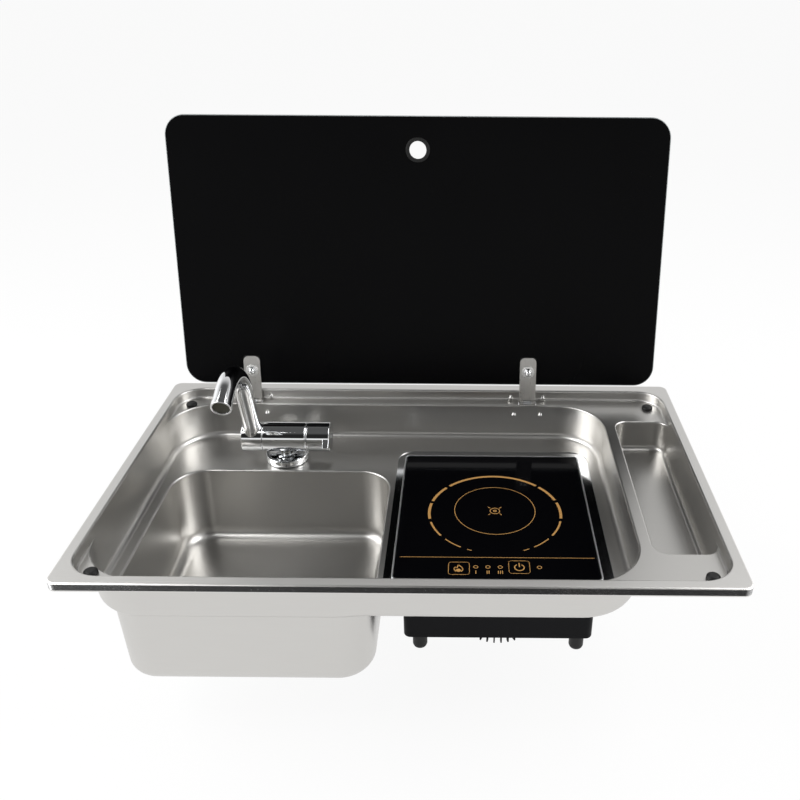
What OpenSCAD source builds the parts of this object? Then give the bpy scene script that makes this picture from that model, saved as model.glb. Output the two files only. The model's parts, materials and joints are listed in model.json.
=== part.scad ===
// Drop-in sink with an induction hob, a folding tap and a hinged glass lid.
// X runs to the right, Y to the back and Z up. The origin lies on the worktop's
// surface, under the middle of the rim's front strip. The lid is stored open.

/* [Rim and recess] */
// Width of the rim, left to right
rim_w = 680; // [640:5:820]
// Depth of the rim, front to back
rim_d = 425; // [420:5:515]
// Radius of the rim's outer corners
rim_corner_r = 10; // [6:1:16]
// Height of the rim's folded edge above the worktop
lip_h = 10; // [8:0.5:13]
// Thickness of the pressed steel
sheet_t = 1; // [0.7:0.1:1.3]
// Width of the rim's flat at the left and right
flange_side = 13; // [12:0.5:18]
// Width of the rim's flat at the front
flange_front = 13; // [12:0.5:18]
// Width of the rim's flat at the back
flange_back = 17.5; // [16:0.5:24]
// Drop from the rim to the ledge that the lid closes onto
recess_depth = 14; // [13:0.5:17]
// Corner radius of the recess
recess_corner_r = 33; // [24:1:40]
// Distance from the rim's front edge to the origin
seat_inset = 6.5; // [5:0.5:8]

/* [Basin] */
// Drop from the ledge to the basin's floor
basin_depth = 50; // [46:1:70]
// Corner radius of the basin
basin_corner_r = 62; // [50:1:70]
// Width of the front ledge
basin_front_gap = 13; // [10:1:18]
// Width of the back ledge, which carries the hinges
ledge_back = 16; // [15:1:22]
// Corner radius of the sink bowl
bowl_corner_r = 40; // [30:1:50]
// Depth of the sink bowl below the basin's floor
bowl_depth = 101; // [80:1:130]
// Floor left between the basin's side wall and the bowl
bowl_side_gap = 19; // [12:1:30]
// Floor left between the basin's front wall and the bowl
bowl_front_gap = 7; // [6:1:20]
// Floor left behind the bowl for the tap
tap_shelf = 91.5; // [86:0.5:120]
// Floor left between the bowl and the hob's cut-out
bowl_hob_web = 7; // [7:1:20]
// Width of the welding flange under the floor
weld_flange = 2.5; // [2:0.5:3]

/* [Side tray] */
// Width of the side tray
tray_w = 68; // [50:1:80]
// Depth of the side tray below the ledge
tray_depth = 42; // [25:1:50]
// Width of the ledge between the basin and the tray
divider_w = 15; // [10:1:25]
// Ledge left in front of the tray
tray_front_gap = 58; // [50:1:80]
// Ledge left behind the tray
tray_back_gap = 59; // [50:1:80]
// Corner radius of the tray
tray_corner_r = 16; // [8:1:24]

/* [Lid and hinges] */
// Thickness of the lid's glass
lid_t = 5.5; // [4:0.5:6.6]
// Gap between the lid's sides and the recess
lid_side_gap = 10; // [5:1:14]
// Gap between the closed lid's front edge and the recess
lid_front_gap = 11; // [5:1:14]
// Corner radius of the lid
lid_corner_r = 26; // [15:1:36]
// Height of the closed lid's lower face above the ledge
lid_rest_h = 5.5; // [5.5:0.1:6.6]
// Angle through which the lid opens
lid_open = 100.12; // [90:1:110]
// Distance from the lid's rear edge to the hinge pin
lid_tail = 24.7; // [20:0.5:32]
// Left hinge's place, left of the centre
hinge_left_x = 227; // [200:1:260]
// Right hinge's place, right of the centre
hinge_right_x = 147; // [100:1:180]
// Width of the lid straps
strap_w = 22; // [18:1:28]
// Thickness of the straps and hinge brackets
strap_t = 2; // [1.5:0.5:2.5]
// Length of strap that lies on the glass
strap_reach = 38.6; // [32:0.2:50]
// Distance from the lid's rear edge to its bolts
bolt_inset = 18.7; // [15:0.1:24]
// Radius of the hinge pins
pin_r = 1.75; // [1.5:0.05:2]
// Radius of the rubber bumpers
bumper_r = 7.2; // [5:0.1:8]
// Radius of the hole in the lid's grommet
finger_r = 10.8; // [9:0.1:12]
// Distance from the lid's front edge to the grommet's centre
grommet_inset = 41; // [35:1:60]

/* [Tap] */
// Tap's place, left of the bowl's centre line
tap_offset = 2.5; // [0:0.5:20]
// Distance from the tap to the basin's back wall
tap_back_gap = 58.5; // [56:0.5:62]
// Height of the tap's axis above the floor
tap_rise = 32.5; // [31:0.5:33]
// Radius of the tap's body
tap_r = 19.5; // [16:0.5:20]
// Length of the spout's knuckle
knuckle_len = 27; // [26:1:32]
// Length of the body from the tap's centre to the knuckle
body_left = 27.5; // [26:0.5:32]
// Length of the body from the tap's centre to the handle
body_right = 27.5; // [24:0.5:32]
// Length of the handle
handle_len = 29.5; // [28:0.5:36]
// Outer radius of the spout's tube
spout_r = 11.4; // [10:0.1:12]
// Wall of the spout's tube
spout_wall = 1.6; // [1:0.1:2.5]
// Forward lean of the raised spout
spout_lean = 17; // [0:1:25]
// Straight rise of the spout from the tap's axis
spout_rise = 86; // [60:1:100]
// Radius of the spout's bend
spout_bend_r = 54; // [36:1:56]
// Angle of the spout's bend
spout_bend = 96; // [90:1:110]
// Length of the spout's arm past the bend
spout_arm = 25; // [20:1:40]
// Radius of the base flange
tap_flange_r = 28; // [24:0.5:30]
// Height of the base flange
tap_flange_h = 9; // [7:0.5:10]
// Radius of the threaded shank, a half-inch pipe thread
shank_r = 10.48; // [9:0.01:10.5]
// Length of the shank below the basin's floor
shank_drop = 60; // [40:1:80]

/* [Waste] */
// Distance from the bowl's front wall to the drain
drain_front = 115; // [70:1:150]
// Radius of the waste's flange
waste_flange_r = 34; // [30:1:40]
// Outer radius of the waste's body
waste_r = 21; // [19:0.5:24]
// Length of the waste's body below the bowl
waste_drop = 30; // [26:1:50]
// Outer radius of the hose tail
tail_r = 12.6; // [10:0.1:14]
// Length of the hose tail
tail_len = 34; // [25:1:50]

/* [Hob] */
// Width of the cut-out that the hob's trim stands in
cut_w = 250.5; // [245:0.5:270]
// Depth of that cut-out
cut_d = 286; // [280:1:300]
// Floor left between the cut-out and the basin's right wall
cut_right_gap = 19.5; // [14:0.5:40]
// Floor left between the cut-out and the basin's front wall
cut_front_gap = 40; // [25:1:60]
// Corner radius of the cut-out
cut_corner_r = 22; // [12:1:30]
// Width of the hob's trim
trim_w = 228; // [222:1:230]
// Depth of the hob's trim
trim_d = 252.5; // [245:0.5:256]
// Height of the trim above its support
trim_h = 6.5; // [5.5:0.5:9]
// Wall of the trim
trim_wall = 1.6; // [1.2:0.1:2.4]
// Thickness of the hob's glass
hob_glass_t = 4; // [3:0.5:5]
// Depth of the plastic casing below the glass
casing_depth = 85; // [80:1:110]
// Wall of the plastic casing
casing_wall = 2.2; // [1.8:0.1:3]
// Height of the feet
foot_h = 19; // [10:1:30]
// Radius of the feet
foot_r = 8.3; // [6:0.1:10]
// Outer radius of the induction coil
coil_r = 75; // [60:1:77]
// Radius of the fan's rotor
fan_r = 41; // [30:1:42]
// Radius of the hole in the mains cord's gland
cord_r = 3.8; // [3:0.1:5]

/* [Hidden] */
$fn = 64;
// Overlap of solids that are joined or cut
eps = 0.5;
// Running clearance of a pin or spigot in its bore
run_gap = 0.05;
// Clearance of a screw in its hole
hole_gap = 0.15;
// Gap kept between pieces that only rest on each other
rest_gap = 0.2;

// Rim and recess
rim_x = rim_w / 2;
rim_y0 = -seat_inset;
rim_y1 = rim_y0 + rim_d;
recess_x = rim_x - flange_side;
recess_y0 = rim_y0 + flange_front;
recess_y1 = rim_y1 - flange_back;
ledge_z = lip_h - recess_depth;

// Basin and tray
floor_z = ledge_z - basin_depth;
under_z = floor_z - sheet_t;
tray_x0 = recess_x - tray_w;
tray_y0 = recess_y0 + tray_front_gap;
tray_y1 = recess_y1 - tray_back_gap;
basin_x0 = -recess_x;
basin_x1 = tray_x0 - divider_w;
basin_y0 = recess_y0 + basin_front_gap;
basin_y1 = recess_y1 - ledge_back;

// Hob's cut-out, trim and casing
cut_x1 = basin_x1 - cut_right_gap;
cut_x0 = cut_x1 - cut_w;
cut_y0 = basin_y0 + cut_front_gap;
cut_y1 = cut_y0 + cut_d;
trim_left_gap = 9.5;
trim_front_gap = 14.5;
trim_x0 = cut_x0 + trim_left_gap;
trim_x1 = trim_x0 + trim_w;
trim_y0 = cut_y0 + trim_front_gap;
trim_y1 = trim_y0 + trim_d;
frame_t = 1.2;
trim_z = under_z;
shelf_t = 1.2;
gasket_t = 0.8;
glass_z = trim_z + shelf_t + gasket_t;
casing_left_gap = 11;
casing_right_gap = 5;
casing_end_gap = 8;
casing_x0 = trim_x0 + casing_left_gap;
casing_x1 = trim_x1 - casing_right_gap;
casing_y0 = trim_y0 + casing_end_gap;
casing_y1 = trim_y1 - casing_end_gap;
casing_z = glass_z - casing_depth;
casing_gap = 0.9;
casing_corner_r = 8;
cover_t = 2.5;
cover_rim = 4;
inner_x0 = casing_x0 + casing_wall;
inner_x1 = casing_x1 - casing_wall;
inner_y0 = casing_y0 + casing_wall;
inner_y1 = casing_y1 - casing_wall;
cover_top = casing_z + cover_t;

// Sink bowl and drain
bowl_x0 = basin_x0 + bowl_side_gap;
bowl_x1 = cut_x0 - bowl_hob_web;
bowl_y0 = basin_y0 + bowl_front_gap;
bowl_y1 = basin_y1 - tap_shelf;
bowl_z = floor_z - bowl_depth;
drain_x = (bowl_x0 + bowl_x1) / 2;
drain_y = bowl_y0 + drain_front;

// Lid and hinges
knuckle_r = 3.8;
knuckle_half = 5.4;
knuckle_gap = 0.3;
pad_t = 0.8;
lid_z = ledge_z + lid_rest_h;
strap_z = lid_z - pad_t - strap_t;
strap_mid_h = 3.3;
pin_y = basin_y1 + sheet_t + knuckle_r + 0.5;
pin_z = strap_z + strap_t / 2 - strap_mid_h;
lid_y1 = pin_y - lid_tail;
lid_y0 = recess_y0 + lid_front_gap;
lid_x = recess_x - lid_side_gap;
hinge_x = [-hinge_left_x, hinge_right_x];
slot_half = strap_w / 2 + 1.3;
slot_y0 = basin_y1 + sheet_t + 0.2;
slot_y1 = pin_y + knuckle_r + 1.1;
bracket_half = 27;
bracket_drop = 22;
bracket_rise = 11.5;
low_screw_x = 18;
low_screw_z = ledge_z - 13;
high_screw_x = 21.8;
high_screw_z = ledge_z + 5;
screw_r = 2;
screw_head_r = 4.1;
screw_head_h = 2.2;
bolt_y = lid_y1 - bolt_inset;
bolt_r = 2.9;
bolt_head_r = 7;
bolt_head_h = 2;
washer_r = 8.3;
washer_t = 1.2;
nut_r = 5.4;
nut_h = 3;
dome_r = 4.3;
grommet_y = lid_y0 + grommet_inset;
grommet_core_r = finger_r + 2.3;
grommet_r = finger_r + 4.7;
grommet_lip = 1.5;
bumper_x = recess_x - 18.5;
bumper_front = 18.3;
bumper_back = 23.5;
bumper_stem_r = 2.4;
bumper_z = lid_z - 0.3;

// Rim seal
seal_wall_gap = 2.5;
seal_lip_gap = 0.3;

// Tap
tap_x = drain_x - tap_offset;
tap_y = basin_y1 - tap_back_gap;
tap_z = floor_z + tap_rise;
seal_t = 0.8;
flange_top = seal_t + tap_flange_h - tap_rise;
shank_top = flange_top - 0.3;
collar_r = shank_r + 2.1;
collar_h = 3;
neck_r = 7.2;
spigot_r = 5.4;
spigot_len = 14;
waterway_r = 3;
backing_t = 2;
shank_nut_h = 8;
relief_top = -tap_rise - sheet_t - backing_t - shank_nut_h - 0.5;
relief_w = 1.5;
relief_t = 0.5;
arm_spigot_r = 9;
arm_spigot_len = 24.4;
cap_t = 2.5;
cap_r = 12;
cartridge_r = 12.8;
cartridge_len = 23;
stem_r = 4;
stem_len = 18;
ring_w = 2;
handle_gap = 0.3;
handle_x0 = body_right + ring_w + handle_gap;
handle_x1 = handle_x0 + handle_len;
handle_wall = 3;
fin_reach = 8.5;
fin_w = 8.5;
knuckle_x1 = -body_left - handle_gap;
knuckle_x0 = knuckle_x1 - knuckle_len;
spout_x = (knuckle_x0 + knuckle_x1) / 2;
collar_len = 7;
tube_overlap = 0.5;
tube_step = 0.1;
aerator_r = spout_r + 0.8;

// Waste
bowl_under = bowl_z - sheet_t;
waste_wall = 2;
waste_flange_t = 1.4;
waste_gasket_t = 2;
locknut_h = 9;
locknut_r = 32;
waste_end = bowl_under - waste_drop;
tail_disc_t = 3;
tail_bore_r = tail_r - 2.1;
tail_nut_r = waste_r + 5;
basket_r = waste_r - waste_wall - 0.8;
basket_rim_r = 27;
basket_depth = 17;
basket_wall = 0.8;
basket_z = bowl_z + waste_flange_t + rest_gap;

// Hob's inside
shield_t = 0.8;
coil_x = (trim_x0 + trim_x1) / 2 + 0.9;
coil_y = (trim_y0 + trim_y1) / 2 - 2.5;
shield_z = glass_z - rest_gap - shield_t;
winding_h = 4;
winding_z = shield_z - rest_gap - winding_h;
former_t = 2.8;
former_z = winding_z - rest_gap - former_t;
ferrite_h = 3.9;
ferrite_z = former_z - rest_gap - ferrite_h;
plate_t = 1.5;
plate_z = ferrite_z - rest_gap - plate_t;
rib_h = 13;
former_r = coil_r + 4;
hub_r = 8;
sensor_r = 6.5;
board_t = 1.6;
control_z = glass_z - 7;
control_y0 = inner_y0 + 0.8;
control_y1 = coil_y - former_r - 4;
control_side = 12;
touch_y = control_y0 + 9;
button_x = [55.8, 122];
led_x = [74.5, 87.8, 101.2, 144];
hob_mid_x = (trim_x0 + trim_x1) / 2;
button_ref_x = 97.5;
fan_x = (casing_x0 + casing_x1) / 2;
fan_y = casing_y0 + 50;
fan_half = fan_r + 5;
fan_h = 25;
fan_z = cover_top + rest_gap;
fan_tip_gap = 1.5;
grille_r = fan_r + 5.5;
grille_fins = 36;
grille_drop = 11;
grille_hub_r = 14;
power_z = cover_top + 7.5;
power_y0 = fan_y + fan_half + 8;
power_y1 = inner_y1 - 6;
power_side = 9;
pillar_r = 3.5;
pillar_inset = 7;
boss_r = 4.5;
boss_y = 62;
boss_inset = 6;
boss_hole_r = 1.7;
gland_x = casing_x1 - 36;
gland_z = cover_top + 25;
gland_r = 7.9;
gland_flange_r = 10.5;

// Plain helpers

module round_rect(x0, x1, y0, y1, r) {
    translate([x0 + r, y0]) square([x1 - x0 - 2 * r, y1 - y0]);
    translate([x0, y0 + r]) square([x1 - x0, y1 - y0 - 2 * r]);
    for (x = [x0 + r, x1 - r], y = [y0 + r, y1 - r]) translate([x, y]) circle(r);
}

module slab(x0, x1, y0, y1, r, z0, z1) {
    translate([0, 0, z0]) linear_extrude(z1 - z0) round_rect(x0, x1, y0, y1, r);
}

module block(x0, x1, y0, y1, z0, z1) {
    translate([x0, y0, z0]) cube([x1 - x0, y1 - y0, z1 - z0]);
}

module disc(x, y, r, z0, z1) {
    translate([x, y, z0]) cylinder(r = r, h = z1 - z0);
}

module ring(x, y, r_in, r_out, z0, z1) {
    difference() {
        disc(x, y, r_out, z0, z1);
        disc(x, y, r_in, z0 - eps, z1 + eps);
    }
}

// A round bar along X
module bar_x(x0, x1, y, z, r) {
    translate([x0, y, z]) rotate([0, 90, 0]) cylinder(r = r, h = x1 - x0);
}

// A round bar along Y
module bar_y(x, y0, y1, z, r) {
    translate([x, y1, z]) rotate([90, 0, 0]) cylinder(r = r, h = y1 - y0);
}

// Turns what is drawn closed to the stored, open position
module opened() {
    translate([0, pin_y, pin_z]) rotate([-lid_open, 0, 0]) translate([0, -pin_y, -pin_z]) children();
}

module at_tap() {
    translate([tap_x, tap_y, tap_z]) children();
}

// Deck, bowl and seal

module recess_prism(grow, z0, z1) {
    slab(-recess_x - grow, recess_x + grow, recess_y0 - grow, recess_y1 + grow,
         recess_corner_r + grow, z0, z1);
}

module basin_prism(grow, z0, z1) {
    slab(basin_x0 - grow, basin_x1 + grow, basin_y0 - grow, basin_y1 + grow,
         basin_corner_r + grow, z0, z1);
}

module tray_prism(grow, z0, z1) {
    slab(tray_x0 - grow, recess_x + grow, tray_y0 - grow, tray_y1 + grow,
         tray_corner_r + grow, z0, z1);
}

module bowl_prism(grow, z0, z1) {
    slab(bowl_x0 - grow, bowl_x1 + grow, bowl_y0 - grow, bowl_y1 + grow,
         bowl_corner_r + grow, z0, z1);
}

module cut_prism(grow, z0, z1) {
    slab(cut_x0 - grow, cut_x1 + grow, cut_y0 - grow, cut_y1 + grow,
         cut_corner_r + grow, z0, z1);
}

module rim_prism(inset, z0, z1) {
    slab(inset - rim_x, rim_x - inset, rim_y0 + inset, rim_y1 - inset,
         rim_corner_r - inset, z0, z1);
}

module hinge_screw_axes(gap) {
    past = sheet_t + eps;
    for (hx = hinge_x, side = [-1, 1]) {
        bar_y(hx + side * low_screw_x, basin_y1 - eps, basin_y1 + past, low_screw_z, screw_r + gap);
        bar_y(hx + side * high_screw_x, recess_y1 - eps, recess_y1 + past, high_screw_z, screw_r + gap);
    }
}

module at_bumpers() {
    for (x = [-bumper_x, bumper_x], y = [recess_y0 + bumper_front, recess_y1 - bumper_back])
        translate([x, y, 0]) children();
}

module deck_pressing() {
    color("#a9a9a6") difference() {
        union() {
            rim_prism(0, lip_h - sheet_t, lip_h);
            difference() {
                rim_prism(0, 0, lip_h);
                rim_prism(sheet_t, -eps, lip_h + eps);
            }
            recess_prism(sheet_t, ledge_z - sheet_t, lip_h);
            basin_prism(sheet_t, under_z, ledge_z);
            tray_prism(sheet_t, ledge_z - tray_depth - sheet_t, ledge_z);
        }
        recess_prism(0, ledge_z, lip_h + eps);
        basin_prism(0, floor_z, ledge_z + eps);
        tray_prism(0, ledge_z - tray_depth, ledge_z + eps);
        bowl_prism(0, under_z - eps, floor_z + eps);
        cut_prism(0, under_z - eps, floor_z + eps);
        disc(tap_x, tap_y, shank_r + hole_gap, under_z - eps, floor_z + eps);
        hinge_screw_axes(hole_gap);
        for (hx = hinge_x)
            block(hx - slot_half, hx + slot_half, slot_y0, slot_y1, ledge_z - sheet_t - eps, ledge_z + eps);
        at_bumpers() disc(0, 0, bumper_stem_r + hole_gap, ledge_z - sheet_t - eps, ledge_z + eps);
    }
}

module sink_bowl() {
    color("#b4b4b1") difference() {
        union() {
            bowl_prism(sheet_t, bowl_under, under_z);
            bowl_prism(sheet_t + weld_flange, under_z - sheet_t, under_z);
        }
        bowl_prism(0, bowl_z, under_z + eps);
        disc(drain_x, drain_y, waste_r + hole_gap, bowl_under - eps, bowl_z + eps);
    }
}

module rim_seal() {
    color("#2b2b2b") difference() {
        rim_prism(sheet_t + seal_lip_gap, 0, lip_h - sheet_t);
        recess_prism(sheet_t + seal_wall_gap, -eps, lip_h);
    }
}

module lid_bumpers() {
    color("#1c1c1c") at_bumpers() {
        disc(0, 0, bumper_r, ledge_z, bumper_z);
        disc(0, 0, bumper_stem_r, ledge_z - sheet_t - 2, ledge_z + eps);
    }
}

module hob_support_frame() {
    color("#c6c8ca") difference() {
        cut_prism(weld_flange, under_z - frame_t, under_z);
        slab(casing_x0 - casing_gap, casing_x1 + casing_gap, casing_y0 - casing_gap, casing_y1 + casing_gap,
             casing_corner_r + casing_gap, under_z - frame_t - eps, under_z + eps);
    }
}

// Hinges

module hinge_bracket(hx) {
    x0 = hx - bracket_half;
    x1 = hx + bracket_half;
    wall_y = basin_y1 + sheet_t;
    back_y = recess_y1 + sheet_t;
    top_z = ledge_z - sheet_t;
    past = strap_t + eps;
    color("#9a9c9e") difference() {
        union() {
            block(x0, x1, wall_y, wall_y + strap_t, top_z - bracket_drop, top_z);
            block(x0, x1, wall_y, back_y + strap_t, top_z - strap_t, top_z);
            block(x0, x1, back_y, back_y + strap_t, top_z - strap_t, top_z + bracket_rise);
            bar_x(hx - knuckle_half, hx + knuckle_half, pin_y, pin_z, knuckle_r);
            block(hx - knuckle_half, hx + knuckle_half, pin_y - 2.2, pin_y + 2.2, top_z - eps, pin_z);
        }
        for (side = [-1, 1])
            translate([hx + side * (knuckle_half + slot_half) / 2, 0, 0])
                block(-(slot_half - knuckle_half) / 2, (slot_half - knuckle_half) / 2,
                      wall_y - eps, slot_y1, pin_z - knuckle_r - 1, top_z + eps);
        bar_x(x0, x1, pin_y, pin_z, pin_r + 0.02);
        for (side = [-1, 1]) {
            bar_y(hx + side * low_screw_x, wall_y - eps, wall_y + past, low_screw_z, screw_r + 0.02);
            bar_y(hx + side * high_screw_x, back_y - eps, back_y + past, high_screw_z, screw_r + 0.02);
        }
    }
}

module hinge_bracket_left() { hinge_bracket(hinge_x[0]); }

module hinge_bracket_right() { hinge_bracket(hinge_x[1]); }

module hinge_pins() {
    color("#d0d0d0") for (hx = hinge_x)
        bar_x(hx - strap_w / 2 - 1, hx + strap_w / 2 + 1, pin_y, pin_z, pin_r);
}

module pan_screw(x, y, z, length) {
    difference() {
        union() {
            bar_y(x, y - screw_head_h, y, z, screw_head_r);
            bar_y(x, y - eps, y + length, z, screw_r);
        }
        for (tilt = [0, 90]) translate([x, y - screw_head_h, z]) rotate([0, tilt, 0])
            cube([4.4, 2.4, 0.9], center = true);
    }
}

module hinge_screws() {
    grip = sheet_t + strap_t + 0.4;
    color("#e2e2e0") for (hx = hinge_x, side = [-1, 1]) {
        pan_screw(hx + side * low_screw_x, basin_y1, low_screw_z, grip);
        pan_screw(hx + side * high_screw_x, recess_y1, high_screw_z, grip);
    }
}

// Lid

module lid_glass() {
    color("#111214") opened() difference() {
        slab(-lid_x, lid_x, lid_y0, lid_y1, lid_corner_r, lid_z, lid_z + lid_t);
        disc(0, grommet_y, grommet_core_r + hole_gap, lid_z - eps, lid_z + lid_t + eps);
        for (hx = hinge_x) disc(hx, bolt_y, bolt_r + 0.5, lid_z - eps, lid_z + lid_t + eps);
    }
}

module lid_grommet() {
    color("#161616") opened() translate([0, grommet_y, lid_z]) difference() {
        union() {
            disc(0, 0, grommet_core_r, -grommet_lip, lid_t + grommet_lip);
            disc(0, 0, grommet_r, -grommet_lip, 0);
            disc(0, 0, grommet_r, lid_t, lid_t + grommet_lip);
        }
        disc(0, 0, finger_r, -grommet_lip - eps, lid_t + grommet_lip + eps);
    }
}

module lid_strap(hx) {
    tip_y = lid_y1 - strap_reach;
    tip_r = 7;
    notch_half = knuckle_half + knuckle_gap;
    notch_y = pin_y - knuckle_r - 1;
    color("#b9bab8") opened() difference() {
        union() {
            slab(hx - strap_w / 2, hx + strap_w / 2, tip_y, bolt_y, tip_r, strap_z, strap_z + strap_t);
            block(hx - strap_w / 2, hx + strap_w / 2, tip_y + 2 * tip_r, pin_y, strap_z, strap_z + strap_t);
            bar_x(hx - strap_w / 2, hx + strap_w / 2, pin_y, pin_z, knuckle_r);
        }
        block(hx - notch_half, hx + notch_half, notch_y, pin_y + knuckle_r + 1,
              pin_z - knuckle_r - 1, strap_z + strap_t + 1);
        bar_x(hx - strap_w, hx + strap_w, pin_y, pin_z, pin_r + run_gap);
        disc(hx, bolt_y, bolt_r + hole_gap, strap_z - eps, strap_z + strap_t + eps);
    }
}

module lid_strap_left() { lid_strap(hinge_x[0]); }

module lid_strap_right() { lid_strap(hinge_x[1]); }

module strap_pads() {
    color("#202020") opened() for (hx = hinge_x) difference() {
        slab(hx - strap_w / 2, hx + strap_w / 2, lid_y1 - strap_reach, lid_y1, 3, lid_z - pad_t, lid_z);
        disc(hx, bolt_y, bolt_r + hole_gap, lid_z - pad_t - eps, lid_z + eps);
    }
}

module lid_bolts() {
    color("#c9cacb") opened() for (hx = hinge_x) {
        disc(hx, bolt_y, bolt_head_r, lid_z + lid_t, lid_z + lid_t + bolt_head_h);
        disc(hx, bolt_y, bolt_r, strap_z - washer_t - nut_h - 1, lid_z + lid_t + eps);
    }
}

module lid_washers() {
    color("#d6d7d8") opened() for (hx = hinge_x)
        ring(hx, bolt_y, bolt_r + hole_gap, washer_r, strap_z - washer_t, strap_z);
}

module lid_dome_nuts() {
    top_z = strap_z - washer_t;
    color("#e4e5e6") opened() for (hx = hinge_x) translate([hx, bolt_y, top_z]) difference() {
        union() {
            translate([0, 0, -nut_h]) cylinder(r = nut_r, h = nut_h, $fn = 6);
            intersection() {
                translate([0, 0, -nut_h]) sphere(dome_r);
                disc(0, 0, dome_r, -nut_h - dome_r, -nut_h + eps);
            }
        }
        disc(0, 0, bolt_r + 0.02, -nut_h - 1.2, eps);
    }
}

// Waste

module waste_flange() {
    color("#c4c5c4") translate([drain_x, drain_y, 0]) difference() {
        union() {
            disc(0, 0, waste_flange_r, bowl_z, bowl_z + waste_flange_t);
            disc(0, 0, waste_r, waste_end, bowl_z + eps);
        }
        disc(0, 0, waste_r - waste_wall, waste_end - eps, bowl_z + waste_flange_t + eps);
    }
}

module waste_gasket() {
    color("#252525")
        ring(drain_x, drain_y, waste_r + rest_gap, locknut_r - 1, bowl_under - waste_gasket_t, bowl_under);
}

module waste_locknut() {
    top_z = bowl_under - waste_gasket_t;
    color("#dcdcd8") translate([drain_x, drain_y, 0]) difference() {
        union() {
            disc(0, 0, locknut_r - 3, top_z - locknut_h, top_z);
            for (turn = [0:45:315]) rotate(turn)
                block(locknut_r - 5, locknut_r, -3, 3, top_z - locknut_h, top_z);
        }
        disc(0, 0, waste_r + 0.02, top_z - locknut_h - eps, top_z + eps);
    }
}

module waste_tail() {
    color("#e6e6e2") translate([drain_x, drain_y, waste_end - rest_gap]) difference() {
        union() {
            disc(0, 0, waste_r, -tail_disc_t, 0);
            translate([0, 0, -tail_disc_t - 8]) cylinder(r1 = tail_r, r2 = waste_r - 2, h = 8);
            disc(0, 0, tail_r, -tail_disc_t - 8 - tail_len, -tail_disc_t - 8);
        }
        disc(0, 0, tail_bore_r, -tail_disc_t - 8 - tail_len - eps, eps);
    }
}

module waste_tail_nut() {
    nut_top = waste_end + 8;
    disc_under = waste_end - rest_gap - tail_disc_t;
    color("#d4d4d0") translate([drain_x, drain_y, 0]) difference() {
        disc(0, 0, tail_nut_r, disc_under - 2.5, nut_top);
        disc(0, 0, waste_r + 0.1, disc_under, nut_top + eps);
        disc(0, 0, waste_r - 1, disc_under - 2.5 - eps, disc_under + eps);
    }
}

module strainer_basket() {
    cup_z = basket_z - basket_depth;
    color("#c8c9c8") translate([drain_x, drain_y, 0]) difference() {
        union() {
            disc(0, 0, basket_rim_r, basket_z, basket_z + basket_wall);
            disc(0, 0, basket_r, cup_z, basket_z + eps / 2);
        }
        disc(0, 0, basket_r - basket_wall, cup_z + basket_wall, basket_z + basket_wall + eps);
        disc(0, 0, 2, cup_z - eps, cup_z + basket_wall + eps);
        for (turn = [0:45:315]) rotate(turn) {
            disc(7.5, 0, 1.5, cup_z - eps, cup_z + basket_wall + eps);
            rotate(22.5) disc(12.5, 0, 1.5, cup_z - eps, cup_z + basket_wall + eps);
        }
    }
}

module strainer_knob() {
    cup_z = basket_z - basket_depth;
    color("#2a2a2a") translate([drain_x, drain_y, 0]) {
        disc(0, 0, 1.95, cup_z - 1, basket_z);
        disc(0, 0, 3.5, cup_z + basket_wall, cup_z + 4);
        disc(0, 0, 6, basket_z - 2, basket_z + 5);
    }
}

// Tap

module tap_flange() {
    base = seal_t - tap_rise;
    steps = [
        [shank_r + hole_gap, base], [tap_flange_r, base], [tap_flange_r, base + 2.9],
        [tap_flange_r - 0.5, base + 3.4], [tap_flange_r, base + 3.9],
        [tap_flange_r, flange_top - 2.6], [tap_flange_r - 1.3, flange_top - 1.6],
        [tap_flange_r - 10, flange_top], [collar_r + 0.3, flange_top],
        [collar_r + 0.3, shank_top - collar_h], [shank_r + hole_gap, shank_top - collar_h]
    ];
    color("#d9dadb") at_tap() rotate_extrude() polygon(steps);
}

module tap_base_seal() {
    color("#1d1d1d") ring(tap_x, tap_y, shank_r + hole_gap, tap_flange_r - 1, floor_z, floor_z + seal_t);
}

module tap_shank() {
    color("#c9b27a") at_tap() difference() {
        union() {
            disc(0, 0, shank_r, -tap_rise - sheet_t - shank_drop, shank_top);
            disc(0, 0, collar_r, shank_top - collar_h, shank_top);
        }
        disc(0, 0, spigot_r + run_gap, shank_top - spigot_len - 1, shank_top + eps);
        disc(0, 0, waterway_r, -tap_rise - sheet_t - shank_drop - eps, shank_top);
        ring(0, 0, shank_r - relief_t, shank_r + eps, relief_top - relief_w, relief_top);
    }
}

module tap_backing_washer() {
    color("#3a3a3a") ring(tap_x, tap_y, shank_r + hole_gap, 18, under_z - backing_t, under_z);
}

module tap_shank_nut() {
    color("#c2ab6c") translate([tap_x, tap_y, under_z - backing_t - shank_nut_h]) difference() {
        cylinder(r = 16.5, h = shank_nut_h, $fn = 6);
        disc(0, 0, shank_r + 0.02, -eps, shank_nut_h + eps);
    }
}

module tap_body() {
    color("#dfe1e3") at_tap() difference() {
        union() {
            bar_x(-body_left, body_right, 0, 0, tap_r);
            bar_x(-body_left - arm_spigot_len, -body_left + eps, 0, 0, arm_spigot_r);
            disc(0, 0, neck_r, shank_top + rest_gap, 0);
            disc(0, 0, spigot_r, shank_top - spigot_len, shank_top + 1);
        }
        bar_x(body_right - cartridge_len - 0.5, body_right + eps, 0, 0, cartridge_r + 0.1);
        bar_x(-body_left - arm_spigot_len + 3, 2, 0, 0, waterway_r);
        translate([spout_x, 0, 0]) rotate([spout_lean, 0, 0]) disc(0, 0, waterway_r, 0, arm_spigot_r + eps);
        disc(0, 0, waterway_r, shank_top - spigot_len - eps, eps);
    }
}

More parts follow.
